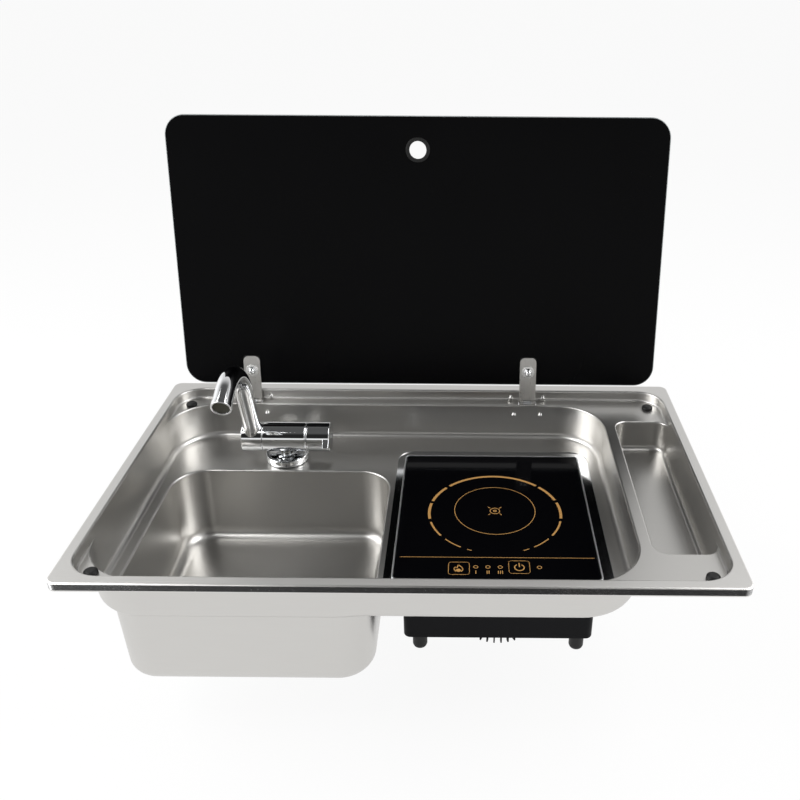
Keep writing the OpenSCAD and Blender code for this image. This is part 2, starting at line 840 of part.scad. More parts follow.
module tap_cartridge() {
    color("#e9e9e4") at_tap() {
        bar_x(body_right - cartridge_len, body_right, 0, 0, cartridge_r);
        bar_x(body_right - eps, body_right + ring_w + stem_len, 0, 0, stem_r);
    }
}

module tap_trim_ring() {
    color("#f0f1f2") at_tap() difference() {
        bar_x(body_right, body_right + ring_w, 0, 0, tap_r + 0.5);
        bar_x(body_right - eps, body_right + ring_w + eps, 0, 0, stem_r + hole_gap);
    }
}

module spout_end_cap() {
    end_x = -body_left - arm_spigot_len;
    color("#d9dadb") at_tap() bar_x(end_x - cap_t, end_x, 0, 0, cap_r);
}

module tap_handle() {
    hub_x0 = handle_x0 + 2;
    hub_x1 = handle_x1 - 6;
    color("#e2e4e6") at_tap() difference() {
        union() {
            difference() {
                bar_x(handle_x0, handle_x1, 0, 0, tap_r);
                bar_x(handle_x0 - eps, hub_x1, 0, 0, tap_r - handle_wall);
            }
            bar_x(hub_x0, hub_x1 + eps, 0, 0, stem_r + 3);
            translate([handle_x1 - fin_w, 0, 0]) rotate([90, 0, 90]) linear_extrude(fin_w) polygon([
                [-tap_r + 2.9, 7.5], [-tap_r - fin_reach, -0.6], [-tap_r - fin_reach, -3.8],
                [-tap_r + 2.9, -7.5]
            ]);
        }
        bar_x(hub_x0 - eps, body_right + ring_w + stem_len + 0.5, 0, 0, stem_r + run_gap);
        bar_x(body_right + ring_w + stem_len, handle_x1 + eps, 0, 0, 2.1);
    }
}

module handle_screw() {
    x0 = body_right + ring_w + stem_len + 0.6;
    color("#bfc0c1") at_tap() difference() {
        bar_x(x0, handle_x1 - 1, 0, 0, 2);
        translate([handle_x1 - 4, 0, 0]) rotate([0, 90, 0]) cylinder(r = 1.1, h = 4, $fn = 6);
    }
}

// The spout's path as a bar of one radius, from the knuckle to a length of arm.
// The riser and the arm are a hair thinner than the bend and reach into it, so that they join.
module spout_path(r, start_z, arm) {
    disc(0, 0, r - tube_step, start_z, spout_rise + tube_overlap);
    translate([0, -spout_bend_r, spout_rise]) rotate([90, 0, 90])
        rotate_extrude(angle = spout_bend) translate([spout_bend_r, 0]) circle(r);
    at_arm(-tube_overlap) disc(0, 0, r - tube_step, 0, arm + tube_overlap);
}

// The spout's own frame, on its knuckle
module at_spout() {
    at_tap() translate([spout_x, 0, 0]) rotate([spout_lean, 0, 0]) children();
}

// Along the arm, from the end of the bend
module at_arm(along) {
    translate([0, spout_bend_r * (cos(spout_bend) - 1), spout_rise + spout_bend_r * sin(spout_bend)])
        rotate([spout_bend, 0, 0]) translate([0, 0, along]) children();
}

module spout() {
    arm = spout_arm - 3;
    color("#dfe1e3") at_spout() difference() {
        union() {
            bar_x(-knuckle_len / 2, knuckle_len / 2, 0, 0, tap_r);
            spout_path(spout_r, 8, arm);
        }
        spout_path(spout_r - spout_wall, arm_spigot_r + 5, arm + eps);
        disc(0, 0, waterway_r + 1, 0, arm_spigot_r + 6);
        bar_x(-knuckle_len, knuckle_len, 0, 0, arm_spigot_r + run_gap);
        bar_x(-knuckle_len, -knuckle_len / 2 + cap_t + 0.4, 0, 0, cap_r + 0.2);
    }
}

module aerator_collar() {
    color("#e8eaec") at_spout() at_arm(spout_arm - collar_len) difference() {
        disc(0, 0, aerator_r, 0, collar_len);
        disc(0, 0, spout_r + hole_gap, -eps, collar_len - 2.8);
        disc(0, 0, spout_r - spout_wall, -eps, collar_len + eps);
    }
}

module aerator_mesh() {
    mesh_r = spout_r - spout_wall - tube_step - 0.1;
    color("#4a4b46") at_spout() at_arm(spout_arm - 2) difference() {
        disc(0, 0, mesh_r, -1.2, 0);
        for (x = [-6:3:6], y = [-6:3:6]) if (norm([x, y]) < mesh_r - 1.5) disc(x, y, 0.9, -1.2 - eps, eps);
    }
}

// Hob

module trim_prism(inset, z0, z1) {
    slab(trim_x0 + inset, trim_x1 - inset, trim_y0 + inset, trim_y1 - inset, 6 - min(inset, 4), z0, z1);
}

module casing_prism(inset, z0, z1) {
    slab(casing_x0 + inset, casing_x1 - inset, casing_y0 + inset, casing_y1 - inset,
         casing_corner_r - inset, z0, z1);
}

module hob_trim() {
    color("#c9cacb") difference() {
        trim_prism(0, trim_z, trim_z + trim_h);
        trim_prism(trim_wall, trim_z + shelf_t, trim_z + trim_h + eps);
        casing_prism(-casing_gap, trim_z - eps, trim_z + shelf_t + eps);
    }
}

module hob_glass() {
    color("#0b0b0c") trim_prism(trim_wall + 0.8, glass_z, glass_z + hob_glass_t);
}

module glass_gasket() {
    color("#303030") difference() {
        trim_prism(trim_wall + 1.1, trim_z + shelf_t, glass_z);
        casing_prism(-casing_gap, trim_z, glass_z + eps);
    }
}

module hob_casing() {
    rib_y0 = coil_y - 50;
    rib_y1 = coil_y + 50;
    slot_n = 9;
    color("#1d1e20") difference() {
        union() {
            difference() {
                casing_prism(0, casing_z + cover_rim, glass_z);
                casing_prism(casing_wall, casing_z - eps, glass_z + eps);
            }
            block(inner_x0 - eps, inner_x0 + 6, rib_y0, rib_y1, plate_z - rib_h, plate_z - rest_gap);
            block(inner_x1 - 6, inner_x1 + eps, rib_y0, rib_y1, plate_z - rib_h, plate_z - rest_gap);
            block(inner_x0 + 20, inner_x1 - 20, inner_y0 - eps, inner_y0 + 5,
                  control_z - 6, control_z - rest_gap);
            at_bosses() disc(0, 0, boss_r, casing_z + cover_rim, casing_z + 30);
        }
        at_bosses() disc(0, 0, boss_hole_r, casing_z, casing_z + 26);
        bar_y(gland_x, casing_y1 - casing_wall - eps, casing_y1 + eps, gland_z, gland_r + 0.1);
        for (i = [0:slot_n - 1])
            block(casing_x0 + 24 + i * 11, casing_x0 + 28 + i * 11,
                  casing_y1 - casing_wall - eps, casing_y1 + eps, casing_z + 28, casing_z + 52);
    }
}

module at_bosses() {
    for (x = [casing_x0 + boss_inset, casing_x1 - boss_inset], y = [casing_y0 + boss_y, casing_y1 - boss_y])
        translate([x, y, 0]) children();
}

module at_pillars() {
    for (x = [inner_x0 + power_side + pillar_inset, inner_x1 - power_side - pillar_inset],
         y = [power_y0 + pillar_inset, power_y1 - pillar_inset])
        translate([x, y, 0]) children();
}

module hob_bottom_cover() {
    color("#191a1b") difference() {
        union() {
            casing_prism(0, casing_z, cover_top);
            difference() {
                casing_prism(0, casing_z, casing_z + cover_rim);
                casing_prism(casing_wall, casing_z, casing_z + cover_rim + eps);
            }
            at_pillars() disc(0, 0, pillar_r, cover_top - eps, power_z);
        }
        at_bosses() disc(0, 0, boss_hole_r + 0.3, casing_z - eps, casing_z + cover_rim + eps);
        disc(fan_x, fan_y, fan_r, casing_z - eps, cover_top + eps);
    }
}

module fan_grille() {
    color("#121212") translate([fan_x, fan_y, casing_z]) {
        disc(0, 0, grille_hub_r, -2.5, 0);
        ring(0, 0, fan_r - 1, grille_r, -2, 0);
        ring(0, 0, 26, 28, -2, 0);
        for (i = [0:grille_fins - 1]) rotate((i + 0.5) * 360 / grille_fins) {
            block(grille_hub_r - 1, grille_r - 1, -0.7, 0.7, -2, 0);
            block(grille_r - 4, grille_r, -0.8, 0.8, -grille_drop, 0);
        }
    }
}

module hob_feet() {
    foot_left = 18;
    foot_right = 16.5;
    foot_end = 9;
    color("#141414")
        for (x = [casing_x0 + foot_left, casing_x1 - foot_right],
             y = [casing_y0 + foot_end, casing_y1 - foot_end])
            translate([x, y, casing_z]) rotate_extrude() polygon([
                [0, 0], [foot_r, 0], [foot_r, 3 - foot_h],
                [foot_r - 1, 1 - foot_h], [foot_r - 3, -foot_h], [0, -foot_h]
            ]);
}

module casing_screws() {
    color("#8d8f91") at_bosses() difference() {
        union() {
            disc(0, 0, 3.4, casing_z - 2, casing_z);
            disc(0, 0, boss_hole_r - 0.05, casing_z - eps, casing_z + 18);
        }
        block(-2.4, 2.4, -0.5, 0.5, casing_z - 2 - eps, casing_z - 1);
        block(-0.5, 0.5, -2.4, 2.4, casing_z - 2 - eps, casing_z - 1);
    }
}

module hob_clips() {
    hook_z = under_z - frame_t - 0.1;
    clip_y = 24;
    color("#a7a9ab") for (y = [coil_y - 70, coil_y + 55]) {
        block(casing_x0 - 1.2, casing_x0, y, y + clip_y, hook_z - 30, hook_z);
        block(casing_x0 - 11, casing_x0, y, y + clip_y, hook_z - 1.2, hook_z);
        block(casing_x1, casing_x1 + 1.2, y, y + clip_y, hook_z - 30, hook_z);
        block(casing_x1, casing_x1 + 11, y, y + clip_y, hook_z - 1.2, hook_z);
    }
}

// Hob's inside

module heat_shield() {
    color("#c9c3ad") ring(coil_x, coil_y, hub_r, former_r - 1, shield_z, shield_z + shield_t);
}

module coil_winding() {
    color("#b5651d") ring(coil_x, coil_y, 20, coil_r, winding_z, winding_z + winding_h);
}

module coil_former() {
    color("#e8e4da") difference() {
        union() {
            disc(coil_x, coil_y, former_r, former_z, former_z + former_t);
            for (turn = [0:120:240]) translate([coil_x, coil_y, 0]) rotate(turn)
                disc(coil_r - 5, 0, 4, plate_z + plate_t, former_z + eps);
        }
        disc(coil_x, coil_y, hub_r, former_z - eps, former_z + former_t + eps);
    }
}

module ferrite_bars() {
    color("#3f3f42") for (turn = [30:60:330]) translate([coil_x, coil_y, 0]) rotate(turn)
        block(20, coil_r - 8, -4.5, 4.5, ferrite_z, ferrite_z + ferrite_h);
}

module coil_plate() {
    color("#b0b3b6") difference() {
        block(inner_x0 + 0.3, inner_x1 - 0.3, coil_y - 49, coil_y + 49, plate_z, plate_z + plate_t);
        disc(coil_x, coil_y, 14, plate_z - eps, plate_z + plate_t + eps);
    }
}

module temperature_sensor() {
    color("#f2f2f2") disc(coil_x, coil_y, sensor_r, former_z, glass_z - 0.1);
}

module control_board() {
    color("#1f5c34")
        block(inner_x0 + control_side, inner_x1 - control_side, control_y0, control_y1,
              control_z, control_z + board_t);
}

// Two touch springs and four lamps stand between the board and the glass
module touch_springs() {
    top_z = control_z + board_t;
    color("#c8a64b") {
        for (x = button_x) disc(hob_mid_x + x - button_ref_x, touch_y, 4, top_z, glass_z - 0.1);
        for (x = led_x) disc(hob_mid_x + x - button_ref_x, touch_y, 2, top_z, glass_z - 0.5);
    }
}

module power_board() {
    x0 = inner_x0 + power_side;
    x1 = inner_x1 - power_side;
    top_z = power_z + board_t;
    color("#24623b") difference() {
        union() {
            block(x0, x1, power_y0, power_y1, power_z, top_z);
            disc(x1 - 34, power_y0 + 20, 12, top_z - eps, top_z + 30);
            disc(x1 - 62, power_y0 + 20, 10, top_z - eps, top_z + 24);
            block(x1 - 60, x1 - 28, power_y0 + 42, power_y0 + 68, top_z - eps, top_z + 22);
        }
        at_pillars() disc(0, 0, 1.5, power_z - eps, top_z + eps);
    }
}

module heatsink() {
    x0 = inner_x0 + power_side + 14;
    y0 = power_y0 + 20;
    z0 = power_z + board_t;
    color("#9ea1a4") {
        block(x0, x0 + 76, y0, y0 + 70, z0, z0 + 4);
        for (i = [0:9]) block(x0 + i * 8.2, x0 + i * 8.2 + 2, y0, y0 + 70, z0 + 4 - eps, z0 + 30);
    }
}

module fan_frame() {
    hub = 17;
    color("#2a2b2d") translate([fan_x, fan_y, fan_z]) difference() {
        union() {
            difference() {
                block(-fan_half, fan_half, -fan_half, fan_half, 0, fan_h);
                disc(0, 0, fan_r + fan_tip_gap, -eps, fan_h + eps);
            }
            disc(0, 0, hub, 0, 2);
            for (turn = [45:90:315]) rotate(turn) block(hub - 2, fan_r + fan_tip_gap + 1, -2, 2, 0.4, 1.8);
            disc(0, 0, 3.5, 0, 10);
        }
        disc(0, 0, 1.5 + run_gap, -eps, 10 + eps);
    }
}

module fan_rotor() {
    hub = 17;
    hub_z0 = 2.6;
    hub_z1 = fan_h - 1;
    color("#3a3c3f") translate([fan_x, fan_y, fan_z]) {
        difference() {
            disc(0, 0, hub, hub_z0, hub_z1);
            disc(0, 0, hub - 2, hub_z0 - eps, hub_z1 - 2);
        }
        disc(0, 0, 1.5, 0.5, hub_z1 - eps);
        intersection() {
            difference() {
                disc(0, 0, fan_r, hub_z0, hub_z1);
                disc(0, 0, hub - 1, hub_z0 - eps, hub_z1 + eps);
            }
            for (turn = [0:360 / 7:359]) rotate(turn) translate([0, 0, (hub_z0 + hub_z1) / 2])
                rotate([42, 0, 0]) block(hub - 2, fan_r + 2, -0.8, 0.8, -18, 18);
        }
    }
}

module cord_gland() {
    y1 = casing_y1;
    y0 = casing_y1 - casing_wall;
    color("#0f0f10") difference() {
        union() {
            bar_y(gland_x, y0 - 7, y1 + 6, gland_z, gland_r);
            bar_y(gland_x, y1, y1 + 5, gland_z, gland_flange_r);
            bar_y(gland_x, y0 - 5, y0, gland_z, gland_flange_r);
            bar_y(gland_x, y1 + 4, y1 + 14, gland_z, gland_r - 1.4);
        }
        bar_y(gland_x, y0 - 7 - eps, y1 + 14 + eps, gland_z, cord_r);
    }
}

deck_pressing();
sink_bowl();
rim_seal();
lid_bumpers();
hob_support_frame();
hinge_bracket_left();
hinge_bracket_right();
hinge_pins();
hinge_screws();
lid_glass();
lid_grommet();
lid_strap_left();
lid_strap_right();
strap_pads();
lid_bolts();
lid_washers();
lid_dome_nuts();
waste_flange();
waste_gasket();
waste_locknut();
waste_tail();
waste_tail_nut();
strainer_basket();
strainer_knob();
tap_flange();
tap_base_seal();
tap_shank();
tap_backing_washer();
tap_shank_nut();
tap_body();
tap_cartridge();
tap_trim_ring();
spout_end_cap();
tap_handle();
handle_screw();
spout();
aerator_collar();
aerator_mesh();
hob_glass();
hob_trim();
glass_gasket();
hob_casing();
hob_bottom_cover();
fan_grille();
hob_feet();
casing_screws();
hob_clips();
heat_shield();
coil_winding();
coil_former();
ferrite_bars();
coil_plate();
temperature_sensor();
control_board();
touch_springs();
power_board();
heatsink();
fan_frame();
fan_rotor();
cord_gland();
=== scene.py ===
"""Looks of the drop-in sink with an induction hob, a folding tap and a hinged glass lid."""

import json
import math

import bmesh
import bpy
import numpy as np
from mathutils import Matrix, Vector
from mathutils.geometry import delaunay_2d_cdt, normal as face_normal


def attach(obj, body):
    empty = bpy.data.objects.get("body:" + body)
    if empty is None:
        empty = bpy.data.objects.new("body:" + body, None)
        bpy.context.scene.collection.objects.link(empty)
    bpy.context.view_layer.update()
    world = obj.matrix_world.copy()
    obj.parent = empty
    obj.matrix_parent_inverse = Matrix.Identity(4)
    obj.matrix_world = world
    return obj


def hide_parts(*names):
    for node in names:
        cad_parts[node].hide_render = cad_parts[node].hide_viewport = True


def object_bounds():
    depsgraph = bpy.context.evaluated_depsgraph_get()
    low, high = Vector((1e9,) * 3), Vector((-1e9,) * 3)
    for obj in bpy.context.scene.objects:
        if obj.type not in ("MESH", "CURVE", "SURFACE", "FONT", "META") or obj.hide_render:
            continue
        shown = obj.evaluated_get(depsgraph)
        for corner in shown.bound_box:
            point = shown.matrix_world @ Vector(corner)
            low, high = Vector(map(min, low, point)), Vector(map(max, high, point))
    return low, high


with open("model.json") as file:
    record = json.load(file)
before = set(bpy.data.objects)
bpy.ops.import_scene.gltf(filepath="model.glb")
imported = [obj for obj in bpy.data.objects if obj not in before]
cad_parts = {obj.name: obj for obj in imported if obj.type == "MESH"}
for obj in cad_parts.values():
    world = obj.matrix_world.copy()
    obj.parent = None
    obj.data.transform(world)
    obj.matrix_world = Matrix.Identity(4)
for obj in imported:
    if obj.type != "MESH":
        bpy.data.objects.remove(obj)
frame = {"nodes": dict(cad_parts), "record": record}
cad_box = [list(v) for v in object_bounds()]
NODES = frame["nodes"]
BODY = {n: b for b, ns in frame["record"]["behaviour"]["bodies"].items() for n in ns}
SLOT = {s["node"]: s["material_slot"] for s in frame["record"]["subparts"]}
MM = 0.001

# Rounded rectangles of the deck, in mm: x0, x1, y0, y1, corner radius
RIM = (-340, 340, -6.5, 418.5, 10)
RECESS = (-327, 327, 6.5, 401, 33)
BASIN = (-327, 244, 19.5, 385, 62)
TRAY = (259, 327, 64.5, 342, 16)
BOWL = (-308, -33, 26.5, 293.5, 40)
CUT = (-26, 224.5, 59.5, 345.5, 22)
RIM_Z, LEDGE_Z, FLOOR_Z, TRAY_Z, BOWL_Z = 10, -4, -54, -46, -155
HINGES = (-227, 147)
TAP = Vector((-173, 326.5, -21.5))
DRAIN = (-170.5, 141.5)
PIN = Vector((0, 390.3, -3.6))
OPENED = (Matrix.Translation(PIN) @ Matrix.Rotation(math.radians(-100.12), 4, "X")
          @ Matrix.Translation(-PIN))
SPOUT = Matrix.Translation(TAP + Vector((-41.3, 0, 0))) @ Matrix.Rotation(math.radians(17), 4, "X")
RISE, BEND, TURN = 86, 54, math.radians(96)
TUBE_R, BARREL_R = 11.4, 19.5
ARM = (SPOUT @ Matrix.Translation((0, BEND * (math.cos(TURN) - 1), RISE + BEND * math.sin(TURN)))
       @ Matrix.Rotation(TURN, 4, "X"))


# Materials

def material(name, color, roughness, metallic=0.0, second=None, spread=0.08, grain=(60, 60, 60),
             bump=0.0, bump_mm=0.05, wave=0.0, **sockets):
    """A finish whose colour and roughness vary with a noise of the given grain, in cycles a metre."""
    mat = bpy.data.materials.new(name)
    mat.use_nodes = True
    tree = mat.node_tree
    nodes, links = tree.nodes, tree.links
    bsdf = nodes["Principled BSDF"]
    bsdf.inputs["Metallic"].default_value = metallic
    for key, value in sockets.items():
        bsdf.inputs[key.replace("_", " ")].default_value = value
    coord = nodes.new("ShaderNodeTexCoord")

    def noise(scale, detail=3.0):
        turn = nodes.new("ShaderNodeMapping")
        turn.inputs["Scale"].default_value = scale
        tex = nodes.new("ShaderNodeTexNoise")
        tex.inputs["Scale"].default_value = 1.0
        tex.inputs["Detail"].default_value = detail
        links.new(coord.outputs["Object"], turn.inputs["Vector"])
        links.new(turn.outputs["Vector"], tex.inputs["Vector"])
        return tex.outputs["Fac"]

    fine = noise(grain)
    broad = noise((9, 9, 9), 2.0)
    blend = nodes.new("ShaderNodeMath")
    blend.operation = "MULTIPLY_ADD"
    blend.inputs[1].default_value = 0.6
    links.new(fine, blend.inputs[0])
    scaled = nodes.new("ShaderNodeMath")
    scaled.operation = "MULTIPLY"
    scaled.inputs[1].default_value = 0.4
    links.new(broad, scaled.inputs[0])
    links.new(scaled.outputs[0], blend.inputs[2])
    mix = nodes.new("ShaderNodeMix")
    mix.data_type = "RGBA"
    mix.inputs[6].default_value = (*color, 1)
    mix.inputs[7].default_value = (*(second or [c * 0.92 for c in color]), 1)
    links.new(blend.outputs[0], mix.inputs[0])
    links.new(mix.outputs[2], bsdf.inputs["Base Color"])
    rough = nodes.new("ShaderNodeMapRange")
    rough.inputs["From Min"].default_value = 0.3
    rough.inputs["From Max"].default_value = 0.7
    rough.inputs["To Min"].default_value = max(roughness - spread, 0.01)
    rough.inputs["To Max"].default_value = roughness + spread
    links.new(blend.outputs[0], rough.inputs["Value"])
    links.new(rough.outputs["Result"], bsdf.inputs["Roughness"])
    last = None
    for strength, height, depth in ((bump, fine, bump_mm), (wave, noise((14, 14, 14), 1.0), 1.0)):
        if strength:
            node = nodes.new("ShaderNodeBump")
            node.inputs["Strength"].default_value = strength
            node.inputs["Distance"].default_value = depth * MM
            links.new(height, node.inputs["Height"])
            if last:
                links.new(last.outputs[0], node.inputs["Normal"])
            last = node
    if last:
        links.new(last.outputs[0], bsdf.inputs["Normal"])
    return mat


STEEL = (0.63, 0.62, 0.6)
FINISH = {
    "satin_steel": material("satin_steel", STEEL, 0.325, 1, (0.615, 0.605, 0.585), 0.02, (30, 320, 320)),
    "lip_steel": material("lip_steel", (0.6, 0.6, 0.6), 0.24, 1, (0.45, 0.45, 0.45), 0.06, (300, 900, 900),
                          bump=0.25, bump_mm=0.02),
    "brushed_steel": material("brushed_steel", (0.74, 0.73, 0.71), 0.33, 1, (0.66, 0.65, 0.63), 0.06,
                              (18, 1100, 1100), bump=0.2, bump_mm=0.02, wave=0.2),
    "polished_steel": material("polished_steel", (0.74, 0.75, 0.76), 0.09, 1, spread=0.03,
                               grain=(40, 40, 40), wave=0.1),
    "plated_steel": material("plated_steel", (0.6, 0.61, 0.62), 0.3, 1, spread=0.08, grain=(300, 300, 300),
                             bump=0.2),
    "strap_steel": material("strap_steel", (0.6, 0.59, 0.57), 0.3, 0.97, (0.42, 0.41, 0.39), 0.08,
                            (500, 40, 60), wave=0.1),
    "trim_steel": material("trim_steel", (0.85, 0.86, 0.87), 0.36, 1, (0.8, 0.81, 0.82), 0.04,
                           (300, 300, 300)),
    "screw_steel": material("screw_steel", (0.92, 0.92, 0.91), 0.16, 0.95, (0.84, 0.84, 0.83), 0.04,
                            (300, 300, 300)),
    "chrome": material("chrome", (0.86, 0.87, 0.88), 0.045, 1, (0.82, 0.83, 0.84), 0.015, (50, 50, 50)),
    "brass": material("brass", (0.72, 0.6, 0.33), 0.28, 1, (0.62, 0.5, 0.27), 0.08, (400, 400, 400)),
    "aluminium": material("aluminium", (0.66, 0.67, 0.69), 0.38, 1, grain=(40, 900, 40), bump=0.2),
    "lid_glass": material("lid_glass", (0.0009, 0.0009, 0.0012), 0.26, 0, (0.0006, 0.0006, 0.0009), 0.04,
                          (6, 6, 6), Specular_IOR_Level=0.06),
    "hob_glass": material("hob_glass", (0.002, 0.002, 0.0025), 0.07, 0, (0.0012, 0.0012, 0.0018), 0.015,
                          (30, 30, 30), Specular_IOR_Level=0.07),
    "black_rubber": material("black_rubber", (0.012, 0.012, 0.012), 0.5, 0, (0.006, 0.006, 0.006), 0.1,
                             (500, 500, 500), bump=0.3, Specular_IOR_Level=0.3),
    "black_plastic": material("black_plastic", (0.008, 0.008, 0.0095), 0.42, 0, (0.005, 0.005, 0.006), 0.06,
                              (1200, 1200, 1200), bump=0.35, Specular_IOR_Level=0.08),
    "white_plastic": material("white_plastic", (0.82, 0.82, 0.79), 0.4, 0, (0.76, 0.75, 0.71), 0.06,
                              (200, 200, 200), bump=0.1),
    "dark_mesh": material("dark_mesh", (0.1, 0.095, 0.07), 0.45, 0.3, (0.03, 0.03, 0.02), 0.1,
                          (1100, 1100, 1100), bump=0.8, bump_mm=0.3),
    "insulation": material("insulation", (0.74, 0.71, 0.62), 0.85, 0, (0.6, 0.56, 0.48), 0.08,
                           (900, 900, 900), bump=0.5),
    "copper": material("copper", (0.72, 0.38, 0.16), 0.3, 1, (0.55, 0.27, 0.1), 0.08, (900, 900, 900),
                       bump=0.5),
    "ferrite": material("ferrite", (0.09, 0.09, 0.1), 0.6, 0, (0.06, 0.06, 0.065), 0.1, (700, 700, 700),
                        bump=0.4),
    "board_green": material("board_green", (0.05, 0.25, 0.12), 0.35, 0, (0.03, 0.16, 0.07), 0.08,
                            (260, 260, 260), bump=0.15),
    "glass_edge": material("glass_edge", (0.33, 0.35, 0.35), 0.3, 0, (0.22, 0.24, 0.24), 0.08,
                           (500, 500, 500), bump=0.2),
    "gold_print": material("gold_print", (0.6, 0.33, 0.11), 0.42, 0.2, (0.48, 0.25, 0.07), 0.08,
                           (900, 900, 900)),
    "shank_thread": material("shank_thread", (0.72, 0.6, 0.33), 0.25, 1, (0.5, 0.4, 0.2), 0.08,
                             (2, 2, 620), bump=0.9, bump_mm=0.5),
}
for node, obj in NODES.items():
    obj.data.materials.clear()
    obj.data.materials.append(FINISH["shank_thread" if node == "tap_shank" else SLOT[node]])


# Mesh helpers

def place(name, mesh, like, finishes=None, replaces=True, sharp=50, weighted=True):
    """Makes the mesh a piece that rides with the body of CAD node `like`, and stands for that node."""
    for finish in finishes or [SLOT[like]]:
        mesh.materials.append(FINISH[finish])
    obj = bpy.data.objects.new(name, mesh)
    bpy.context.scene.collection.objects.link(obj)
    if sharp:
        mesh.shade_smooth()
        mesh.set_sharp_from_angle(angle=math.radians(sharp))
        if weighted:
            mod = obj.modifiers.new("even_normals", "WEIGHTED_NORMAL")
            mod.keep_sharp = True
            mod.weight = 80
    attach(obj, BODY[like])
    if replaces:
        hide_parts(like)
    return obj


class Skin:
    """Faces with a given normal at each corner. Equal points are welded, and windings follow the normals."""

    def __init__(self):
        self.points, self.index = [], {}
        self.faces, self.normals, self.slots = [], [], []

    def face(self, corners, slot=0):
        ids, normals = [], []
        for point, normal in corners:
            key = tuple(round(float(c), 3) for c in point)
            k = self.index.setdefault(key, len(self.points))
            if k == len(self.points):
                self.points.append(Vector(key) * MM)
            if k not in ids:
                ids.append(k)
                normals.append(Vector(normal))
        if len(ids) < 3:
            return
        flat = face_normal([self.points[k] for k in ids])
        if flat.length < 0.5:
            return
        if flat.dot(sum(normals, Vector())) < 0:
            ids.reverse()
            normals.reverse()
        self.faces.append(ids)
        self.normals += normals
        self.slots.append(slot)

    def strip(self, a, b, slot=0):
        """Joins two closed rows of (points, normals)."""
        n = len(a[0])
        for k in range(n):
            m = (k + 1) % n
            self.face([(a[0][k], a[1][k]), (a[0][m], a[1][m]), (b[0][m], b[1][m]), (b[0][k], b[1][k])], slot)

    def strips(self, rows, slot=0):
        for a, b in zip(rows, rows[1:]):
            self.strip(a, b, slot)

    def fill(self, loops, z, up, slot=0):
        """The flat area inside the first loop and outside the others."""
        points, edges = [], []
        loops = [np.asarray(loop)[:, :2] for loop in loops]
        for loop in loops:
            n = len(points)
            points += [Vector(p) for p in loop]
            edges += [(n + k, n + (k + 1) % len(loop)) for k in range(len(loop))]
        coords, _, faces, *_ = delaunay_2d_cdt(points, edges, [], 0, 1e-4)
        for f in faces:
            mid = np.mean([coords[k] for k in f], axis=0)
            if inside(mid, loops[0]) and not any(inside(mid, hole) for hole in loops[1:]):
                self.face([((*coords[k], z), (0, 0, up)) for k in f], slot)

    def mesh(self, name, matrix=None):
        mesh = bpy.data.meshes.new(name)
        mesh.from_pydata(self.points, [], self.faces)
        mesh.shade_smooth()
        mesh.polygons.foreach_set("material_index", self.slots)
        if matrix is not None:
            turn = matrix.to_3x3()
            shift = Matrix.Translation(matrix.translation * MM) @ turn.to_4x4()
            mesh.transform(shift)
            self.normals = [turn @ n for n in self.normals]
        mesh.normals_split_custom_set([n.normalized() for n in self.normals])
        return mesh


def inside(p, loop):
    x, y = loop[:, 0], loop[:, 1]
    nx, ny = np.roll(x, -1), np.roll(y, -1)
    cross = (y > p[1]) != (ny > p[1])
    with np.errstate(divide="ignore", invalid="ignore"):
        at = x + (p[1] - y) / (ny - y) * (nx - x)
    return bool(np.count_nonzero(cross & (p[0] < at)) % 2)


def outline(rect, step=12, arc=14):
    """Points and outward normals round a rounded rectangle, anticlockwise."""
    x0, x1, y0, y1, r = rect
    points, normals = [], []
    corners = [(x1 - r, y0 + r, -90), (x1 - r, y1 - r, 0), (x0 + r, y1 - r, 90), (x0 + r, y0 + r, 180)]
    for k, (cx, cy, start) in enumerate(corners):
        for i in range(arc + 1):
            a = math.radians(start + 90 * i / arc)
            points.append((cx + r * math.cos(a), cy + r * math.sin(a)))
            normals.append((math.cos(a), math.sin(a)))
        nx, ny, turn = corners[(k + 1) % 4]
        a = math.radians(turn)
        end = np.array((nx + r * math.cos(a), ny + r * math.sin(a)))
        begin = np.array(points[-1])
        n = max(1, round(np.linalg.norm(end - begin) / step))
        for i in range(1, n):
            points.append(tuple(begin + (end - begin) * i / n))
            normals.append((math.cos(a), math.sin(a)))
    return np.array(points), np.array(normals)


def gap(points, rect):
    """Each point's distance from a rounded rectangle's outline."""
    x0, x1, y0, y1, r = rect
    q = np.abs(points - ((x0 + x1) / 2, (y0 + y1) / 2)) - ((x1 - x0) / 2 - r, (y1 - y0) / 2 - r)
    return np.abs(np.hypot(*np.maximum(q, 0).T) + np.minimum(q.max(axis=1), 0) - r)


def row(line, d, z, across, up):
    """A row at offset d from the outline, with a normal made of an outward and an upward share."""
    points, normals = line
    d, z, across, up = (np.broadcast_to(v, len(points)) for v in (d, z, across, up))
    flat = points + normals * d[:, None]
    return (np.column_stack([flat, z]), np.column_stack([normals * across[:, None], up]))


def wall(line, z_top, z_low, r_top, r_low, lean=0.0, t=0.0, steps=6):
    """Rows down a wall, from its rounded top edge into its filleted foot. t is the depth below the skin."""
    s, c = np.sin(lean), np.cos(lean)
    big = np.maximum(r_top, t)
    rows = []
    for k in range(steps + 1):
        a = math.pi / 2 + (math.pi / 2 - lean) * k / steps
        rows.append(row(line, big * (1 - s) / c + (big - t) * np.cos(a), z_top - big + (big - t) * np.sin(a),
                        np.cos(a), np.sin(a)))
    middle = ((z_low + r_low - z_top) * s - r_low) / c
    for k in range(steps + 1):
        a = math.pi - lean - (math.pi / 2 - lean) * k / steps
        rows.append(row(line, middle - (r_low + t) * np.cos(a), z_low + r_low - (r_low + t) * np.sin(a),
                        np.cos(a), np.sin(a)))
    return rows


def turned(rows):
    return [(points, -normals) for points, normals in rows]


